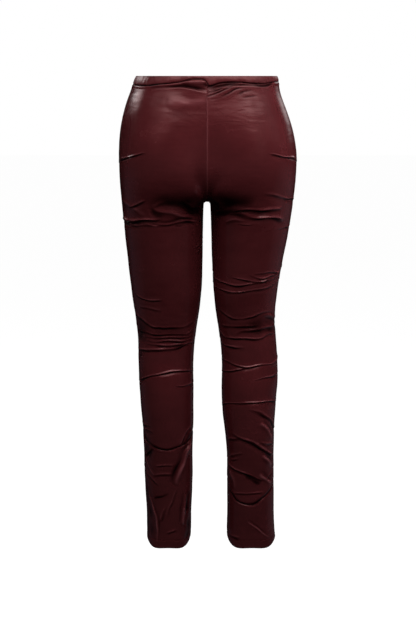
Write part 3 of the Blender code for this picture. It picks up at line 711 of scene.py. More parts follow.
def softened_plan(leg, face, drops):
    """A panel's plan curves with their joins rounded off, along each curve and from row to row.

    Each point moves to the running mean of its neighbours, less and less near the centre seam or
    inseam, and not at the waist, the hem and the crotch."""
    dense = section(leg, face, drops)
    length = arc_lengths(dense)[:, -1]
    count = 2 * PANEL_COLUMNS
    places = np.linspace(0, 1, count)[None] * length[:, None]
    plan = resampled(dense, places)
    from_seam = length[:, None] - places
    inner_keep = smooth_step((from_seam - SEAM_HELD) / SEAM_KEEP)
    side_keep = smooth_step(places / SEAM_KEEP)
    step = float(np.mean(length)) / count
    around = mean_matrix(np.arange(count) * step, ROUND_SOFTNESS)
    mean = np.einsum("ij,rjk->rik", around, plan)
    plan = plan + (inner_keep * side_keep)[..., None] * (mean - plan)

    near_crotch = bell(drops - CROTCH_DROP, CROTCH_KEEP)[:, None]
    near_inner = bell(from_seam, SEAM_KEEP)
    ends = smooth_step((drops - drops[0]) / END_KEEP) * smooth_step((drops[-1] - drops) / END_KEEP)
    held = near_inner * np.maximum(near_crotch, (drops < CROTCH_DROP)[:, None])
    keep = ends[:, None] * (1 - held)
    mean = np.einsum("rs,sjk->rjk", mean_matrix(drops, DOWN_SOFTNESS), plan)
    return plan + keep[..., None] * (mean - plan)


def fold_span(fold):
    """Lowest and highest drop that a fold reaches, with a margin."""
    drops = [drop for _, drop in fold[-1]]
    return min(drops) - FOLD_MARGIN, max(drops) + FOLD_MARGIN


def row_drops(leg):
    """Drops of a leg's rows: close together at its folds, at the crotch and at the hem, wider elsewhere.

    Their number less one is a multiple of the inner skin's stride, so the closest of the rows that
    aren't wanted anywhere are left out."""
    fine = np.arange(BAND_HEIGHT + SEAM_GAP, HEM_DROP + FINE_ROW / 2, FINE_ROW)
    fine[-1] = HEM_DROP
    near = np.zeros_like(fine)
    for fold in FOLDS[leg]:
        low, high = fold_span(fold)
        near = np.maximum(near, (fine > low) * (fine < high))
    near = np.convolve(np.pad(near, ROW_EASE, mode="edge"), np.ones(2 * ROW_EASE + 1), "valid")
    near /= 2 * ROW_EASE + 1
    count = np.cumsum(1 + (FINE_SHARE - 1) * near)
    rows = np.interp(np.linspace(count[0], count[-1], PANEL_ROWS), count, fine)
    turns = np.sin(np.radians(CROTCH_ANGLES)) ** (2 / CURVE_POWER)
    wanted = np.concatenate([
        SEAT_TURN_DROP + (CROTCH_DROP - SEAT_TURN_DROP) * turns,
        CROTCH_DROP + np.array(CROTCH_STEPS),
        HEM_DROP - HEM_TURN + HEM_STEP_EASE * np.array([1, 0, -1]),
        HEM_DROP - np.array(HEM_EDGE_ROWS),
    ])
    apart = np.abs(rows[:, None] - wanted[None, :]).min(1) > LEAST_ROW
    apart[[0, -1]] = True
    rows = np.sort(np.concatenate([rows[apart], wanted]))
    spare = (len(rows) - 1) % INNER_STRIDE
    room = np.where(np.isin(rows[1:-1], wanted), HEM_DROP, rows[2:] - rows[:-2])
    closest = np.argsort(room)[:SPARE_STEP * spare:SPARE_STEP] + 1
    return np.delete(rows, closest)


def mirrored(leg):
    """Sections are drawn for a leg on the +X side; the left leg takes them with X turned over."""
    return np.array([-1.0 if leg == "left" else 1.0, 1.0, 1.0])


def grid_normals(grid):
    """Outward normals of a grid of points, from the slopes along its rows and columns."""
    down = np.gradient(grid, axis=0)
    along = np.gradient(grid, axis=1)
    normals = unit(np.cross(along, down))
    rows, columns = grid.shape[:2]
    middle = normals[rows // 2, columns // 2]
    aim = grid[rows // 2, columns // 2] - grid[rows // 2].mean(0)
    return normals * (1.0 if middle @ aim > 0 else -1.0)


def chart(leg, grid):
    """Each point's angle round its leg, the leg's mean radius there, and its drop."""
    drop = -grid[..., 2]
    outer, inner = leg_sizes(leg, drop)
    side_y = read("depth", SIDE, drop)
    angle = np.degrees(np.arctan2(grid[..., 0] - (outer + inner) / 2, side_y - grid[..., 1]))
    return angle, mean_radius(leg, drop), drop


def mean_radius(leg, drop):
    """Mean of a leg's half width and half depth."""
    outer, inner = leg_sizes(leg, drop)
    return ((outer - inner) + read("depth", FRONT, drop) - read("depth", BACK, drop)) / 4


def smooth_path(points):
    """Catmull-Rom curve through points, PATH_STEPS to each stretch."""
    points = np.asarray(points, float)
    ends = np.concatenate([[2 * points[0] - points[1]], points, [2 * points[-1] - points[-2]]])
    t = np.linspace(0, 1, PATH_STEPS, endpoint=False)[:, None]
    stretches = [
        0.5 * (2 * b + (c - a) * t + (2 * a - 5 * b + 4 * c - d) * t**2 + (3 * b - a - 3 * c + d) * t**3)
        for a, b, c, d in zip(ends[:-3], ends[1:-2], ends[2:-1], ends[3:])
    ]
    return np.concatenate([*stretches, points[-1:]])


def run_on(marks):
    """A path's marks, with an end that comes near the side or inside of the leg carried on past it."""
    marks = marks.copy()
    for end, before in ((0, 1), (-1, -2)):
        angle, drop = marks[end]
        step = angle - marks[before, 0]
        if RUN_ON < abs(angle) < RUN_ON_TO and angle * step > 0:
            share = (math.copysign(RUN_ON_TO, angle) - angle) / step
            marks[end] = marks[end] + share * (marks[end] - marks[before])
    return marks


def place_on_path(path, points):
    """How far along a path each point lies, from 0 to 1, and its distance from it, positive below."""
    starts, steps = path[:-1], np.diff(path, axis=0)
    sizes = np.linalg.norm(steps, axis=1)
    before = np.concatenate([[0], np.cumsum(sizes)])
    apart = points[:, None, :] - starts[None]
    share = np.clip((apart * steps).sum(-1) / sizes**2, 0, 1)
    away = apart - share[..., None] * steps
    distance = np.linalg.norm(away, axis=-1)
    nearest = distance.argmin(1)
    pick = np.arange(len(points))
    below = np.stack([-steps[:, 1], steps[:, 0]], -1)
    below *= np.where(below[:, 1:] < 0, -1.0, 1.0)
    side = np.sign((away[pick, nearest] * below[nearest]).sum(-1))
    along = (before[nearest] + share[pick, nearest] * sizes[nearest]) / before[-1]
    return along, side * distance[pick, nearest]


def fold_relief(leg, grid):
    """How far each point is raised by the folds, how far it is drawn down along the cloth, and its painted
    light and shade, from -1 for painted light on a crest to 1 for painted shade deep in a trough.

    Across a fold the height is a Gaussian crest, less a Gaussian trough beside it, with a wide Gaussian
    ramp above it and a low rim below. Along it the strength is 1 - e^4, where e goes from -1 to 1, tilted
    to its stronger end. Folds are lower at the sides of the leg."""
    angle, radius, drop = chart(leg, grid)
    sway_round, sway_down = (waves(grid, wave) for wave in PATH_SWAY)
    uneven = 1 + waves(grid, STRENGTH_WAVES)
    relief, lean_down, crease, raised = (np.zeros_like(drop) for _ in range(4))
    for kind, height, width, stronger, path in FOLDS[leg]:
        crest, trough, ramp, rim, lean, shade, light = PROFILES[kind]
        marks = run_on(np.array(path, float))
        middle = (marks[:, 0].min() + marks[:, 0].max()) / 2
        radii = mean_radius(leg, marks[:, 1])
        line = smooth_path(np.stack([np.radians(marks[:, 0] - middle) * radii, marks[:, 1]], -1))
        around = np.radians((angle - middle + 180) % 360 - 180) * radius + sway_round
        lower = drop + sway_down
        margin = FOLD_REACH * width
        near = (around > line[:, 0].min() - margin) & (around < line[:, 0].max() + margin)
        near &= (lower > line[:, 1].min() - margin) & (lower < line[:, 1].max() + margin)
        along, across = place_on_path(line, np.stack([around[near], lower[near]], -1))
        end = 2 * along - 1
        strength = (1 - end**END_POWER) * (1 + END_TILT * stronger * end) * uneven[near]
        share = across / width
        beyond = share - trough[1]
        ridge = bell(share, crest[1])
        dip = bell(beyond, np.where(beyond < 0, trough[2], trough[3]))
        wide = bell(share, np.where(share < 0, ramp[1], RAMP_DROP))
        edge = bell(share - rim[1], RIM_WIDTH)
        profile = crest[0] * ridge - trough[0] * dip + ramp[0] * wide + rim[0] * edge
        relief[near] += height * strength * profile
        lean_down[near] += height * strength * lean * wide
        # Painted shade in the trough and painted light along the crest, not lowered at the sides of the
        # leg
        tight = bell(beyond, SHADE_REACH * np.where(beyond < 0, trough[2], min(trough[2:])))
        full = min(1.0, height / FULL_SHADE)
        crease[near] = np.maximum(crease[near], shade * full * strength * tight)
        raised[near] = np.maximum(raised[near], light * full * strength * bell(share, LIGHT_REACH))
    from_side = np.abs((angle + 180) % 360 - 180) - SIDE_ANGLE
    side = 1 - SIDE_LOSS * bell(from_side, SIDE_REACH)
    crease = np.clip(crease, 0, 1)
    return relief * side, lean_down * side, crease - np.clip(raised, 0, 1) * (1 - crease)


def band_edge(across, deep):
    """Drop of the waistband's lower edge: through the points of its table at the back, level in front."""
    back = np.interp(across, BAND_EDGE[:, 0], BAND_EDGE[:, 1])
    return back + (FRONT_EDGE - back) * smooth_step((deep - FRONT_EDGE_START) / FRONT_EDGE_REACH)


def waist_relief(leg, grid):
    """The panel at the waistband: drawn up behind it and tucked in under its lower edge, then rolled out
    below it. The tuck is shallower at the sides, where it would notch the outline.

    Returns how far the cloth is raised, how far it is lifted, and the painted shade in the groove under
    the band, from 0 to 1."""
    drop = -grid[..., 2]
    edge = band_edge(grid[..., 0] * mirrored(leg)[0], grid[..., 1])
    top = BAND_HEIGHT + SEAM_GAP
    lift = (top - edge) * (1 - smooth_step((drop - top) / BAND_ROLL_REACH))
    below = drop - top
    lift = lift + WAIST_LAP * bell(below, WAIST_LAP_REACH)
    sideways = np.abs(grid[..., 0])
    outward = sideways / sideways.max(axis=1, keepdims=True)
    shallower = 1 - SIDE_TUCK_LOSS * smooth_step((outward - SIDE_TUCK_START) / (1 - SIDE_TUCK_START))
    tuck = WAIST_TUCK * shallower * bell(below, WAIST_TUCK_REACH, TUCK_POWER)
    roll = WAIST_ROLL * bell(below - WAIST_ROLL_PLACE, WAIST_ROLL_REACH)
    return roll - tuck, lift, bell(below, GROOVE_REACH, GROOVE_POWER)


def seam_relief(from_side, from_centre):
    """The turned edges under the seams: a narrow ridge at the centre seam or inseam, and a low one at the
    side."""
    centre = CENTRE_RIDGE * bell(from_centre, CENTRE_RIDGE_REACH)
    return centre + SIDE_RIDGE * bell(from_side, SIDE_RIDGE_REACH)


def lowest_near(relief):
    """The least height among each point's neighbours within the stride of the inner skin, and its own."""
    padded = np.pad(relief, INNER_STRIDE, mode="edge")
    rows, columns = relief.shape
    reach = range(2 * INNER_STRIDE + 1)
    down = np.min([padded[i:i + rows] for i in reach], axis=0)
    return np.min([down[:, i:i + columns] for i in reach], axis=0)


def flattened(relief):
    """A running mean of the relief, taken a few times over the nearest rows and columns."""
    for _ in range(FLATTEN_TIMES):
        padded = np.pad(relief, 1, mode="edge")
        relief = (padded[:-2, 1:-1] + padded[2:, 1:-1] + padded[1:-1, :-2] + padded[1:-1, 2:] + relief) / 5
    return relief


def settled(points, leg):
    """Points with the waist tilted down to the front, and the hem lifted at its sides and a little low
    between, as on the body."""
    x, y = points[..., 0], points[..., 1]
    drop = -points[..., 2]
    near_waist = np.clip(1 - drop / DIP_REACH, 0, 1)
    tilt = smooth_step(y / DIP_FLAT_REACH)
    outer, inner = leg_sizes(leg, np.float64(HEM_DROP))
    aside = np.abs((x - (outer + inner) / 2) / ((outer - inner) / 2))
    near_hem = np.clip(1 - (HEM_DROP - drop) / HEM_RISE_REACH, 0, 1)
    lifted = points.copy()
    sag = HEM_SAG * 4 * aside**2 * np.maximum(1 - aside**2, 0)
    lifted[..., 2] += (HEM_RISE * aside**RISE_POWER - sag) * near_hem**2 - FRONT_DIP * tilt * near_waist
    return lifted


def panel_skins(leg, face, cloth):
    """Outer and inner skin of one panel, its places on the flat leather, and its painted light and shade:
    from -1, painted light on crests and seams, to 1, painted shade in troughs and under the waistband.

    Each skin is the plain form moved along its normals: out by the folds, the waist, the seams and the
    hem, and for the inner skin back in by the wall."""
    drops = row_drops(leg)
    plan = softened_plan(leg, face, drops)
    length = arc_lengths(plan)[:, -1]
    places = columns_along(length)
    plan = resampled(plan, places)
    down = np.broadcast_to(-drops[:, None, None], (*plan.shape[:2], 1))
    base = np.concatenate([plan, down], axis=-1)
    normals = grid_normals(base)
    waist, lift, groove = waist_relief(leg, base)
    lifted_form_and_painted_highlight = base.copy()
    lifted_form_and_painted_highlight[..., 2] += lift
    folds, lean, crease = fold_relief(leg, lifted_form_and_painted_highlight)
    folds *= cloth.fold_height
    above_hem = HEM_DROP - drops[:, None]
    past_turn = HEM_TURN - above_hem
    turned = smooth_step(past_turn / HEM_STEP_EASE)
    hem = HEM_STEP * turned - HEM_STITCH * bell(past_turn, HEM_STITCH_REACH)
    rounding = EDGE_ROUNDING * smooth_step(1 - above_hem / EDGE_ROUNDING_REACH)
    uneven = cloth.unevenness * (waves(base, LOW_WAVES) + waves(base, FINE_WAVES))
    from_centre = length[:, None] - places
    relief = folds + waist + seam_relief(places, from_centre) + hem + uneven
    outer = base + (relief - rounding)[..., None] * normals
    outer[..., 2] += lift - lean * cloth.fold_lean
    wall = cloth.wall / MM + HEM_EXTRA_WALL * turned
    under = np.minimum(lowest_near(relief), flattened(relief)) - wall
    inner = base + under[..., None] * normals
    inner[..., 2] += lift - lean * cloth.fold_lean
    outer[-1, :, 2] = -HEM_DROP
    inner[-1, :, 2] = -HEM_DROP
    flat = np.stack([places, np.broadcast_to(drops[:, None], places.shape)], -1) + PIECE_SHIFT[leg, face]
    skins = [settled(skin, leg) * mirrored(leg) for skin in (outer, inner)]
    # A painted light line along the centre seam and inseam, and painted shade in the groove under the
    # waistband
    painted_seam_light = SEAM_LIGHT * bell(from_centre, SEAM_LIGHT_REACH)
    return *skins, flat, groove + (crease - painted_seam_light) * (1 - groove)


def wall_mesh(name, outer, inner, flat, crease):
    """A closed wall between two skins, with its flat places in metres as UVs and its painted light and
    shade, from -1 to 1, as a point attribute. The inner skin has every third row and column, takes the
    second material, and meets the outer one in a rim of six-sided faces."""
    rows, columns = outer.shape[:2]
    index = np.arange(rows * columns).reshape(rows, columns)
    few = (slice(None, None, INNER_STRIDE),) * 2
    under = np.arange(inner[few][..., 0].size).reshape(inner[few].shape[:2]) + index.size
    points = np.concatenate([outer.reshape(-1, 3), inner[few].reshape(-1, 3)]) * MM
    outside, inside = (
        np.stack([grid[:-1, :-1], grid[:-1, 1:], grid[1:, 1:], grid[1:, :-1]], -1).reshape(-1, 4)
        for grid in (index, under)
    )
    loop, inner_loop = (
        np.concatenate([grid[0, :-1], grid[:-1, -1], grid[-1, :0:-1], grid[:0:-1, 0]])
        for grid in (index, under)
    )
    firsts = np.arange(0, len(loop), INNER_STRIDE)[:, None]
    spans = np.append(loop, loop[0])[firsts + np.arange(INNER_STRIDE, -1, -1)]
    rim = np.concatenate([spans, inner_loop[:, None], np.roll(inner_loop, -1)[:, None]], 1)
    first, second, fourth = (points[outside[:, corner]] for corner in (0, 1, 3))
    facing = np.cross(second - first, fourth - first)
    through = (outer - inner)[:-1, :-1].reshape(-1, 3)
    turn = slice(None, None, -1) if (facing * through).sum() < 0 else slice(None)
    faces = [*outside[:, turn].tolist(), *rim[:, turn].tolist(), *inside[:, ::-1][:, turn].tolist()]
    mesh = bpy.data.meshes.new(name)
    mesh.from_pydata(points.tolist(), [], faces)
    lining = np.zeros(len(faces), np.int32)
    lining[len(outside) + len(rim):] = 1
    mesh.polygons.foreach_set("material_index", lining)
    loops = np.zeros(len(mesh.loops), np.int32)
    mesh.loops.foreach_get("vertex_index", loops)
    places = np.concatenate([flat.reshape(-1, 2), flat[few].reshape(-1, 2)]) * MM
    layer = mesh.uv_layers.new(name="cut")
    layer.uv.foreach_set("vector", places[loops].astype(np.float32).ravel())
    depth = mesh.attributes.new("crease", "FLOAT", "POINT")
    depths = np.concatenate([crease.ravel(), crease[few].ravel()])
    depth.data.foreach_set("value", depths.astype(np.float32))
    mesh.shade_smooth()
    mesh.set_sharp_from_angle(angle=SHARP_ANGLE)
    return mesh


def add_piece(mesh, materials):
    """Put a mesh into the scene as a piece of the garment, with its materials."""
    piece = bpy.data.objects.new(mesh.name, mesh)
    for material in materials:
        mesh.materials.append(material)
    bpy.context.scene.collection.objects.link(piece)
    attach(piece, BODY)
    return piece


# ---- materials ----


class Graph:
    """A small helper that adds linked nodes to the shader of a material or a world."""

    def __init__(self, owner):
        owner.use_nodes = True
        self.owner = owner
        self.tree = owner.node_tree

    def plug(self, socket, value):
        """Link an output to an input, or set the input to a plain value."""
        if isinstance(value, bpy.types.NodeSocket):
            self.tree.links.new(value, socket)
        else:
            socket.default_value = value

    def add(self, kind, output, links, **settings):
        """Add a node, set its properties, link or set its inputs, and return one of its outputs."""
        node = self.tree.nodes.new(f"ShaderNode{kind}")
        for key, value in settings.items():
            setattr(node, key, value)
        for socket, value in links.items():
            self.plug(node.inputs[socket], value)
        return node.outputs[output]

    def ramp(self, value, span, onto, shape="LINEAR"):
        """A value carried from one span onto another and held at its ends."""
        limits = dict(zip(("From Min", "From Max", "To Min", "To Max"), (*span, *onto)))
        return self.add("MapRange", "Result", {"Value": value, **limits}, interpolation_type=shape)

    def maths(self, operation, first, second):
        """Two numbers put together by one operation."""
        return self.add("Math", "Value", {0: first, 1: second}, operation=operation)

    def scaled(self, vector, scale):
        """A vector or colour times a number."""
        return self.add("VectorMath", "Vector", {0: vector, "Scale": scale}, operation="SCALE")

    def into_surface(self, **links):
        """Link or set inputs of a material's Principled shader; an underscore stands for a space."""
        surface = self.tree.nodes["Principled BSDF"]
        for key, value in links.items():
            self.plug(surface.inputs[key.replace("_", " ")], value)


# Painted shade darkens the colour in the troughs and painted light brightens it on the crests, where a
# pale painted highlight colour is added; the troughs are also rougher
IN_TROUGH = (0.0, 1.0)
ON_CREST = (-1.0, 0.0)
TROUGH_DARK = (1.0, 0.1)
CREST_LIGHT = (2.6, 1.0)
TROUGH_DULL = (0.0, 0.2)
CREST_HIGHLIGHT_COLOUR = (1.0, 0.85, 0.92)
CLOUDS = {"Scale": 14.0, "Detail": 4.0, "Roughness": 0.55}
CLOUD_SPAN = (0.3, 0.7)
CLOUD_TONES = (0.88, 1.12)
CLOUD_SHEEN = (-0.03, 0.05)
FINE_CREASES = {"Scale": 30.0, "Detail": 4.0, "Roughness": 0.5}
FINE_CREASE_STRETCH = (1.0, 5.0, 1.0)
GRAIN_SCALE = 1100.0
BAND_GLOSS_LOSS = 0.14


def glossy_leather(name, finish, gloss_loss=0.0):
    """Coated stretch leather: deep colour, a clear top coat, fine grain, and creases that run round the
    leg. Colour and gloss drift a little. Painted shade darkens the colour and dims the gloss and top coat
    in the troughs of the folds; painted light brightens the colour and top coat on their crests, and a
    pale painted highlight is added there."""
    graph = Graph(bpy.data.materials.new(name))
    place = graph.add("UVMap", "UV", {}, uv_map="cut")
    depth = graph.add("Attribute", "Fac", {}, attribute_name="crease")
    clouds = graph.add("TexNoise", "Fac", {"Vector": place, **CLOUDS})
    stretched = graph.add("Mapping", "Vector", {"Vector": place, "Scale": FINE_CREASE_STRETCH})
    creases = graph.add("TexNoise", "Fac", {"Vector": stretched, **FINE_CREASES})
    grain = graph.add("TexVoronoi", "Distance", {"Vector": place, "Scale": GRAIN_SCALE}, feature="F1")

    # Painted shade in the troughs and painted light on the crests, as factors on the colour
    trough = graph.ramp(depth, IN_TROUGH, TROUGH_DARK)
    shade_and_light_factor = graph.maths("MULTIPLY", trough, graph.ramp(depth, ON_CREST, CREST_LIGHT))
    tone = graph.maths("MULTIPLY", shade_and_light_factor, graph.ramp(clouds, CLOUD_SPAN, CLOUD_TONES))
    colour = graph.scaled(tuple(finish.colour), tone)
    # A pale painted highlight added on the crests
    lifted_form_and_painted_highlight = graph.ramp(depth, ON_CREST, (finish.painted_crest_highlight, 0.0))
    paler = {0: CREST_HIGHLIGHT_COLOUR, 1: lifted_form_and_painted_highlight, 2: colour}
    highlighted_colour = graph.add("VectorMath", "Vector", paler, operation="MULTIPLY_ADD")
    plain = finish.roughness + gloss_loss
    sheen = graph.ramp(clouds, CLOUD_SPAN, [plain + step for step in CLOUD_SHEEN])
    low = graph.add("Bump", "Normal", {
        "Height": creases, "Strength": finish.crease_strength, "Distance": finish.crease_depth,
    })
    fine = graph.add("Bump", "Normal", {
        "Height": grain, "Normal": low, "Strength": finish.grain_strength, "Distance": finish.grain_depth,
    })
    graph.into_surface(
        Base_Color=highlighted_colour,
        Roughness=graph.maths("ADD", sheen, graph.ramp(depth, IN_TROUGH, TROUGH_DULL)),
        Normal=fine,
        Coat_Normal=low,
        # Painted shade also dims the gloss in the troughs, and painted shade and light scale the top coat
        Specular_Tint=graph.scaled(tuple(finish.gloss_tint), trough),
        Coat_Weight=graph.maths("MULTIPLY", finish.coat, shade_and_light_factor),
        Coat_Roughness=finish.coat_roughness,
    )
    return graph.owner


KNIT_RIBS = {"Scale": 420.0, "Distortion": 1.2}
KNIT_FUZZ = {"Scale": 260.0, "Detail": 3.0}
KNIT_TONES = (0.75, 1.25)
KNIT_STRENGTH = 0.3
KNIT_DEPTH = 0.2 * MM
KNIT_ROUGHNESS = 0.92


def knitted_backing(name, colour):
    """The inner face of the stretch leather: a matt fine knit."""
    graph = Graph(bpy.data.materials.new(name))
    place = graph.add("UVMap", "UV", {}, uv_map="cut")
    ribs = graph.add("TexWave", "Fac", {"Vector": place, **KNIT_RIBS}, bands_direction="X")
    fuzz = graph.add("TexNoise", "Fac", {"Vector": place, **KNIT_FUZZ})
    tint = graph.scaled(tuple(colour), graph.ramp(fuzz, (0.0, 1.0), KNIT_TONES))
    bump = graph.add("Bump", "Normal", {"Height": ribs, "Strength": KNIT_STRENGTH, "Distance": KNIT_DEPTH})
    graph.into_surface(Base_Color=tint, Roughness=KNIT_ROUGHNESS, Normal=bump)
    return graph.owner


# ---- settings ----


class TROUSERS_PG_cloth(bpy.types.PropertyGroup):
    """Sizes of the leather and its folds."""

    wall: bpy.props.FloatProperty(
        name="Leather thickness", description="Thickness of the leather with its backing",
        default=1.2 * MM, min=0.0, unit="LENGTH",
    )
    fold_height: bpy.props.FloatProperty(
        name="Fold height", description="Height of every fold, as a share of its own",
        default=1.0, subtype="FACTOR",
    )
    fold_lean: bpy.props.FloatProperty(
        name="Fold lean", description="How far the folds hang over, as a share of their own lean",
        default=1.0, subtype="FACTOR",
    )
    unevenness: bpy.props.FloatProperty(
        name="Unevenness", description="Strength of the slow waves in the leather",
        default=1.0, subtype="FACTOR",
    )


class TROUSERS_PG_finish(bpy.types.PropertyGroup):
    """Colours and gloss of the leather."""

    colour: bpy.props.FloatVectorProperty(
        name="Leather", description="Colour of the coated leather",
        default=(0.085, 0.0135, 0.016), subtype="COLOR",
    )
    backing: bpy.props.FloatVectorProperty(
        name="Backing", description="Colour of the knitted inner face",
        default=(0.075, 0.020, 0.022), subtype="COLOR",
    )
    gloss_tint: bpy.props.FloatVectorProperty(
        name="Gloss tint", description="Colour of the leather's own gloss",
        default=(1.0, 0.45, 0.45), subtype="COLOR",
    )
    roughness: bpy.props.FloatProperty(
        name="Roughness", description="Roughness under the top coat", default=0.24, subtype="FACTOR",
    )
    # Strength of the pale painted highlight on the fold crests
    painted_crest_highlight: bpy.props.FloatProperty(
        name="Painted crest highlight", description="How much paler the sharp crests are",
        default=0.045, subtype="FACTOR",
    )
    coat: bpy.props.FloatProperty(
        name="Top coat", description="Weight of the clear top coat", default=0.18, subtype="FACTOR",
    )
    coat_roughness: bpy.props.FloatProperty(
        name="Top coat roughness", description="Roughness of the clear top coat",
        default=0.12, subtype="FACTOR",
    )
    crease_strength: bpy.props.FloatProperty(
        name="Fine crease strength", description="Strength of the fine creases",
        default=0.2, subtype="FACTOR",
    )
    crease_depth: bpy.props.FloatProperty(
        name="Fine crease depth", description="Depth of the fine creases", default=0.0012, unit="LENGTH",
    )
    grain_strength: bpy.props.FloatProperty(
        name="Grain strength", description="Strength of the grain", default=0.05, subtype="FACTOR",
    )
    grain_depth: bpy.props.FloatProperty(
        name="Grain depth", description="Depth of the grain", default=0.00008, unit="LENGTH",
    )


class TROUSERS_PG_band(bpy.types.PropertyGroup):
    """Sizes of the waistband."""

    thickness: bpy.props.FloatProperty(
        name="Thickness", description="Thickness of the casing with its elastic",
        default=3.0 * MM, unit="LENGTH",
    )
    proud: bpy.props.FloatProperty(
        name="Proud", description="How far the band stands out from the cloth",
        default=0.5 * MM, unit="LENGTH",
    )
    gather_height: bpy.props.FloatProperty(
        name="Gather height", description="Height of the small gathers over the elastic",
        default=0.16 * MM, unit="LENGTH",
    )


class TROUSERS_PG_stage(bpy.types.PropertyGroup):
    """The studio: floor, light and camera."""

    floor_gap: bpy.props.FloatProperty(
        name="Floor gap", description="Distance from the hem to the floor", default=0.10, unit="LENGTH",
    )
    light: bpy.props.FloatProperty(
        name="Light", description="Strength of all the lamps, as a share of their own",
        default=1.0, subtype="FACTOR",
    )
    lens: bpy.props.FloatProperty(
        name="Lens", description="Focal length in millimetres", default=94.96,
    )
    distance: bpy.props.FloatProperty(
        name="Camera distance", description="Distance of the camera behind the garment",
        default=3.5, unit="LENGTH",
    )


# ---- the panels ----


def make_panels(context, face):
    """Both panels of the back or the front, each in place of its solid."""
    scene = context.scene
    finish = scene.trousers_finish
    leather = glossy_leather(f"{face}_leather", finish)
    backing = knitted_backing(f"{face}_backing", finish.backing)
    for leg in LEGS:
        node = f"{face}_panel_{leg}"
        mesh = wall_mesh(f"{node}_leather", *panel_skins(leg, face, scene.trousers_cloth))
        piece = add_piece(mesh, (leather, backing))
        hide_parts(node)


class TROUSERS_OT_back_panels(bpy.types.Operator):
    """Make the two back panels with the folds of seat, knees and ankles"""

    bl_idname = "trousers.back_panels"
    bl_label = "Back Panels"

    def execute(self, context):
        make_panels(context, "back")
        return {"FINISHED"}


class TROUSERS_OT_front_panels(bpy.types.Operator):
    """Make the two front panels"""

    bl_idname = "trousers.front_panels"
    bl_label = "Front Panels"

    def execute(self, context):
        make_panels(context, "front")
        return {"FINISHED"}


# ---- the waistband ----

BAND_COLUMNS = 124
BAND_AROUND = 36
BAND_SQUARENESS = 0.42
BAND_TUCK = 1.4
BAND_RISE = 2.0
BAND_BULGE = 1.0
BAND_GROOVE_POWER = 6
BAND_GATHERS = ((1.0, (9.0, 9.0, 60.0), 71), (0.6, (4.5, 4.5, 40.0), 83))
BAND_LEVELS = np.arange(0.0, 24.0, 3.0)


def waist_half(leg, drop):
    """Half of the waist at one drop, from the front centre round the side to the back centre, on +X."""
    drops = np.array([drop])
    curves = [section(leg, face, drops) for face in ("front", "back")]
    even = np.linspace(0, 1, BAND_COLUMNS)
    front, back = (resampled(c, even[None] * arc_lengths(c)[:, -1:])[0] for c in curves)
    return np.concatenate([front[::-1], back[1:]])


def band_skin(band):
    """Closed ring of the casing: round the waist, a rounded box whose lower edge rises and falls.

    Its section is a superellipse, |y|^n + |z|^n = 1 with n = 2 / BAND_SQUARENESS, stretched to the band's
    height and thickness. The outer side bulges a little and carries the gathers. Also returned is the
    painted shade on the band's underside, from 0 to 1."""
    turn = np.linspace(0, math.tau, BAND_AROUND, endpoint=False)
    thick = np.sign(np.cos(turn)) * np.abs(np.cos(turn)) ** BAND_SQUARENESS
    high = np.sign(np.sin(turn)) * np.abs(np.sin(turn)) ** BAND_SQUARENESS
    halves = []
    for leg in ("right", "left"):
        levels = np.stack([waist_half(leg, drop) for drop in BAND_LEVELS])
        middle = levels[1]
        edge = band_edge(middle[:, 0] * mirrored(leg)[0], middle[:, 1]) + BAND_TUCK
        drop = (edge[None] + BAND_RISE) * (1 - high[:, None]) / 2 - BAND_RISE
        place = np.maximum(drop, 0.0) / (BAND_LEVELS[1] - BAND_LEVELS[0])
        low = np.clip(place.astype(int), 0, len(BAND_LEVELS) - 2)
        share = (place - low)[..., None]
        column = np.arange(middle.shape[0])[None]
        plan = levels[low, column] * (1 - share) + levels[low + 1, column] * share
        along = np.gradient(plan, axis=1)
        outward = unit(np.stack([-along[..., 1], along[..., 0]], -1))
        outward *= np.sign((outward * plan).sum(-1, keepdims=True))
        points = np.concatenate([plan, -drop[..., None]], -1)
        level = np.concatenate([outward, 0 * outward[..., :1]], -1)
        halves.append((points * mirrored(leg), level * mirrored(leg)))
    points, outward = (
        np.concatenate([right[:, :-1], left[:, :0:-1]], axis=1) for right, left in zip(*halves)
    )
    thickness = band.thickness / MM
    gathers = sum(waves(points, wave) for wave in BAND_GATHERS) * band.gather_height / MM
    face = np.clip(thick, 0, 1)[:, None]
    bulge = BAND_BULGE * (1 - high[:, None] ** 2)
    offset = band.proud / MM - thickness / 2 + thickness / 2 * thick[:, None] + face * (bulge + gathers)
    skin = points + offset[..., None] * outward
    # Painted shade on the underside of the band, darkest at its lower edge
    under = np.clip(-high[:, None], 0, 1) ** BAND_GROOVE_POWER * np.ones_like(gathers)
    return settled(skin, "right"), under


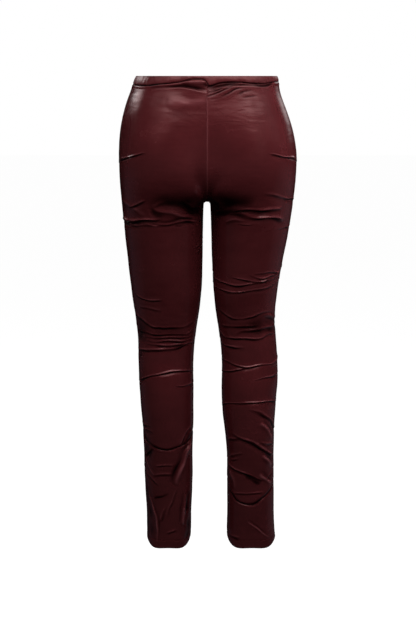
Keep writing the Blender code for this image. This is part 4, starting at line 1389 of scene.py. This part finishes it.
def ring_mesh(name, skin, crease):
    """A closed tube through rings of points, with its flat places in metres as UVs and its painted shade,
    from 0 to 1, as a point attribute."""
    around, columns = skin.shape[:2]
    index = np.arange(around * columns).reshape(around, columns)
    after = np.roll(index, -1, axis=0)
    corners = [index, np.roll(index, -1, axis=1), np.roll(after, -1, axis=1), after]
    faces = np.stack(corners, -1).reshape(-1, 4)
    points = skin.reshape(-1, 3) * MM
    mesh = bpy.data.meshes.new(name)
    a, b, d = (points[faces[:, corner]] for corner in (0, 1, 3))
    facing = np.cross(b - a, d - a).reshape(around, columns, 3)
    outermost = np.linalg.norm(skin[..., :2], axis=-1).mean(1).argmax()
    outwards = (facing[outermost] * (skin[outermost] - skin[outermost].mean(0))).sum()
    if outwards < 0:
        faces = faces[:, ::-1]
    mesh.from_pydata(points.tolist(), [], faces.tolist())
    steps = np.linalg.norm(np.diff(skin, axis=1, append=skin[:, :1]), axis=-1).mean(0)
    along = np.concatenate([[0], np.cumsum(steps)])
    across = np.linspace(0, 2 * BAND_HEIGHT, around + 1)
    places = np.stack(np.meshgrid(along, across), -1) * MM
    row, column = np.divmod(np.arange(around * columns), columns)
    quads = np.stack([places[row + down, column + on] for down, on in ((0, 0), (0, 1), (1, 1), (1, 0))], 1)
    if outwards < 0:
        quads = quads[:, ::-1]
    layer = mesh.uv_layers.new(name="cut")
    layer.uv.foreach_set("vector", quads.astype(np.float32).ravel())
    depth = mesh.attributes.new("crease", "FLOAT", "POINT")
    depth.data.foreach_set("value", crease.astype(np.float32).ravel())
    mesh.shade_smooth()
    return mesh


class TROUSERS_OT_waistband(bpy.types.Operator):
    """Make the narrow gathered waistband"""

    bl_idname = "trousers.waistband"
    bl_label = "Waistband"

    def execute(self, context):
        scene = context.scene
        leather = glossy_leather("waistband_leather", scene.trousers_finish, BAND_GLOSS_LOSS)
        piece = add_piece(ring_mesh("waistband_leather", *band_skin(scene.trousers_band)), (leather,))
        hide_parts("waistband")
        return {"FINISHED"}


# ---- the stage ----

FLOOR_SIZE = 40.0
FLOOR_COLOUR = (0.2, 0.2, 0.2, 1.0)
FLOOR_ROUGHNESS = 0.9
FLOOR_GLOW = 0.97
WHITE = (1.0, 1.0, 1.0, 1.0)
# A Mix node's factor, first and second colour, and the colour that it gives.
MIX_INPUTS = (0, 6, 7)
MIX_RESULT = 2
CAMERA_ACROSS = 0.0018
CAMERA_AIM = -0.5
LAMPS = (
    # name, place, aim, width, height, power per square metre, colour
    ("left_near", (-0.42, -0.72, 0.36), (0.0, 0.0, -0.45), 0.4, 0.4, 13.0, (1.0, 0.98, 0.98)),
    ("right_near", (0.54, -0.72, 0.22), (0.0, 0.0, -0.38), 0.4, 0.6, 13.0, (1.0, 0.98, 0.98)),
    ("overhead", (-0.2, -1.15, 1.75), (0.0, 0.0, -0.35), 0.8, 0.8, 19.5, (1.0, 0.98, 0.97)),
    ("right_side", (0.62, -0.05, 0.35), (0.0, 0.0, -0.4), 0.4, 0.7, 16.5, (1.0, 0.98, 1.0)),
    ("left_side", (-0.55, 0.0, 0.55), (0.0, 0.0, -0.45), 0.4, 0.4, 7.0, (1.0, 0.98, 1.0)),
    ("front_left", (0.42, 1.2, 0.36), (0.0, 0.0, -0.45), 0.4, 0.4, 24.0, (1.0, 0.98, 0.98)),
    ("front_right", (-0.40, 1.3, 0.0), (0.0, 0.0, -0.5), 0.4, 0.6, 16.0, (1.0, 0.98, 0.98)),
    ("front_overhead", (0.2, 1.25, 2.2), (0.0, 0.0, -0.45), 0.8, 0.8, 27.0, (1.0, 0.98, 0.97)),
)
# What the gloss mirrors, as soft panes round the garment. Azimuth 0 is behind the camera, 90 to its
# right. A pane's middle climbs by its slant towards growing azimuths.
PANES = (
    # azimuth, half width, elevation, slant, half height, softness, strength, colour
    (4.0, 20.0, 53.5, 0.0, 17.0, 3.5, 2.3, (1.0, 0.98, 0.97)),
    (42.0, 24.0, 55.5, 0.0, 17.0, 3.5, 2.0, (1.0, 0.98, 0.97)),
    (-40.0, 30.0, 57.5, 0.0, 17.0, 3.0, 1.0, (1.0, 0.98, 0.97)),
    (80.0, 24.0, 52.5, 0.0, 16.0, 5.0, 0.9, (1.0, 0.98, 0.97)),
    (0.0, 95.0, -8.0, 0.0, 16.0, 8.0, 0.055, (1.0, 0.92, 0.95)),
    (-128.0, 16.0, 24.5, 14.0, 5.5, 2.5, 4.0, (1.0, 1.0, 1.0)),
    (162.0, 15.0, 14.0, 0.0, 8.0, 2.5, 1.0, (1.0, 1.0, 1.0)),
    (118.0, 26.0, -15.0, 0.0, 9.0, 5.0, 0.09, (1.0, 0.75, 0.9)),
    (112.0, 24.0, -38.0, 0.0, 12.0, 6.0, 0.25, (1.0, 0.75, 0.9)),
    (-110.0, 24.0, -15.0, 0.0, 8.0, 6.0, 0.05, (0.9, 0.72, 1.0)),
    (200.0, 26.0, 51.0, 0.0, 14.0, 4.0, 0.8, (1.0, 1.0, 1.0)),
)
# A pane fades between these shares of its half width.
PANE_SIDES = (1.7, 0.3)
# The dark room's brightness below and above its turn, a span of the height on the unit sphere, and the
# same for the room that gives soft light.
GLOSS_LIGHT = (0.004, 0.8)
GLOSS_TURN = (0.80, 0.96)
ROOM_COLOUR = (1.0, 0.6, 0.56)
SOFT_LIGHT = (0.06, 0.08)
SOFT_TURN = (-0.5, 0.5)


def make_lamp(name, place, aim, width, height, power, colour, strength):
    """A rectangular lamp that shines from its place towards its aim and isn't seen itself."""
    lamp = bpy.data.lights.new(name, "AREA")
    lamp.shape = "RECTANGLE"
    lamp.size = width
    lamp.size_y = height
    lamp.energy = power * width * height * strength
    lamp.color = colour
    holder = bpy.data.objects.new(name, lamp)
    bpy.context.scene.collection.objects.link(holder)
    holder.location = place
    holder.rotation_mode = "QUATERNION"
    holder.rotation_quaternion = (Vector(aim) - Vector(place)).to_track_quat("-Z", "Y")
    holder.visible_camera = False
    holder.visible_glossy = False


def make_floor(gap):
    """A wide pale floor below the hems."""
    level = CAD_BOX[0][2] - gap
    half = FLOOR_SIZE / 2
    corners = [(-half, -half, level), (half, -half, level), (half, half, level), (-half, half, level)]
    mesh = bpy.data.meshes.new("floor")
    mesh.from_pydata(corners, [], [(0, 1, 2, 3)])
    graph = Graph(bpy.data.materials.new("pale_floor"))
    graph.into_surface(
        Base_Color=FLOOR_COLOUR, Roughness=FLOOR_ROUGHNESS, Specular_IOR_Level=0.0,
        Emission_Color=WHITE, Emission_Strength=FLOOR_GLOW,
    )
    mesh.materials.append(graph.owner)
    floor = bpy.data.objects.new("floor", mesh)
    bpy.context.scene.collection.objects.link(floor)
    floor.visible_glossy = False
    floor.visible_diffuse = False


def soft_pane(graph, heading, elevation, pane):
    """One pane's colour: the product of a smooth step of the cosine to its azimuth and one of the distance
    from its elevation."""
    azimuth, half_width, centre, slant, half_height, softness, strength, colour = pane
    turn = math.radians(azimuth)
    axis = (math.sin(turn), -math.cos(turn), 0.0)
    onward = (math.cos(turn), math.sin(turn), 0.0)
    near, aside = (
        graph.add("VectorMath", "Value", {0: heading, 1: way}, operation="DOT_PRODUCT")
        for way in (axis, onward)
    )
    sides = [math.cos(math.radians(half_width * side)) for side in PANE_SIDES]
    across = graph.ramp(near, sides, (0.0, strength), "SMOOTHSTEP")
    climb = {0: aside, 1: math.radians(slant), 2: math.radians(centre)}
    middle = graph.add("Math", "Value", climb, operation="MULTIPLY_ADD")
    off = graph.maths("SUBTRACT", elevation, middle)
    away = graph.add("Math", "Value", {0: off}, operation="ABSOLUTE")
    edges = [math.radians(half_height + side * softness) for side in (-1, 1)]
    high = graph.ramp(away, edges, (1.0, 0.0), "SMOOTHSTEP")
    return graph.scaled(colour, graph.maths("MULTIPLY", across, high))


def make_surroundings():
    """White to the eye, a dim room for soft light, and a dark room with soft panes for the gloss."""
    graph = Graph(bpy.data.worlds.new("studio"))
    place = graph.add("TexCoord", "Generated", {})
    height = graph.add("SeparateXYZ", "Z", {"Vector": place})
    level = graph.add("VectorMath", "Vector", {0: place, 1: (1.0, 1.0, 0.0)}, operation="MULTIPLY")
    heading = graph.add("VectorMath", "Vector", {0: level}, operation="NORMALIZE")
    elevation = graph.add("Math", "Value", {0: height}, operation="ARCSINE")
    total = graph.scaled(ROOM_COLOUR, graph.ramp(height, GLOSS_TURN, GLOSS_LIGHT, "SMOOTHSTEP"))
    for pane in PANES:
        tinted = soft_pane(graph, heading, elevation, pane)
        total = graph.add("VectorMath", "Vector", {0: total, 1: tinted}, operation="ADD")
    glow = graph.ramp(height, SOFT_TURN, SOFT_LIGHT, "SMOOTHSTEP")
    shown = graph.add("CombineXYZ", "Vector", dict.fromkeys("XYZ", glow))
    for ray, seen in (("Is Glossy Ray", total), ("Is Camera Ray", WHITE)):
        asked = graph.add("LightPath", ray, {})
        shown = graph.add("Mix", MIX_RESULT, dict(zip(MIX_INPUTS, (asked, shown, seen))), data_type="RGBA")
    graph.plug(graph.tree.nodes["Background"].inputs["Color"], shown)
    bpy.context.scene.world = graph.owner


def make_camera(stage):
    """The camera level with the waist, behind the garment, aimed at its middle."""
    lens = bpy.data.cameras.new("camera")
    lens.lens = stage.lens
    camera = bpy.data.objects.new("camera", lens)
    bpy.context.scene.collection.objects.link(camera)
    camera.location = (CAMERA_ACROSS, -stage.distance, 0.0)
    aim = Vector((CAMERA_ACROSS, 0.0, CAMERA_AIM)) - camera.location
    camera.rotation_mode = "QUATERNION"
    camera.rotation_quaternion = aim.to_track_quat("-Z", "Y")
    bpy.context.scene.camera = camera


class TROUSERS_OT_stage(bpy.types.Operator):
    """Make the pale floor, the studio light and the camera"""

    bl_idname = "trousers.stage"
    bl_label = "Stage"

    def execute(self, context):
        stage = context.scene.trousers_stage
        make_floor(stage.floor_gap)
        make_surroundings()
        for lamp in LAMPS:
            make_lamp(*lamp, stage.light)
        make_camera(stage)
        context.scene.view_settings.view_transform = "Standard"
        return {"FINISHED"}


class TROUSERS_PT_panel(bpy.types.Panel):
    """Sizes, colours and the steps that make the trousers"""

    bl_label = "Trousers"
    bl_idname = "TROUSERS_PT_panel"
    bl_space_type = "VIEW_3D"
    bl_region_type = "UI"
    bl_category = "Trousers"

    def draw(self, context):
        for group in GROUPS:
            settings = getattr(context.scene, group)
            box = self.layout.box()
            for name in settings.bl_rna.properties.keys():
                if name not in ("rna_type", "name"):
                    box.prop(settings, name)
        for operator in OPERATORS:
            self.layout.operator(operator.bl_idname)


GROUPS = {
    "trousers_cloth": TROUSERS_PG_cloth,
    "trousers_finish": TROUSERS_PG_finish,
    "trousers_band": TROUSERS_PG_band,
    "trousers_stage": TROUSERS_PG_stage,
}
OPERATORS = (TROUSERS_OT_back_panels, TROUSERS_OT_front_panels, TROUSERS_OT_waistband, TROUSERS_OT_stage)


def register():
    """Register the settings, operators and panel."""
    for kind in (*GROUPS.values(), *OPERATORS, TROUSERS_PT_panel):
        bpy.utils.register_class(kind)
    for name, kind in GROUPS.items():
        setattr(bpy.types.Scene, name, bpy.props.PointerProperty(type=kind))


def unregister():
    """Remove the settings, operators and panel."""
    for name in GROUPS:
        delattr(bpy.types.Scene, name)
    for kind in reversed((*GROUPS.values(), *OPERATORS, TROUSERS_PT_panel)):
        bpy.utils.unregister_class(kind)


def main():
    """Register the add-on, then make every piece and the stage."""
    register()
    bpy.ops.trousers.back_panels()
    bpy.ops.trousers.front_panels()
    bpy.ops.trousers.waistband()
    bpy.ops.trousers.stage()


if __name__ == "__main__":
    main()
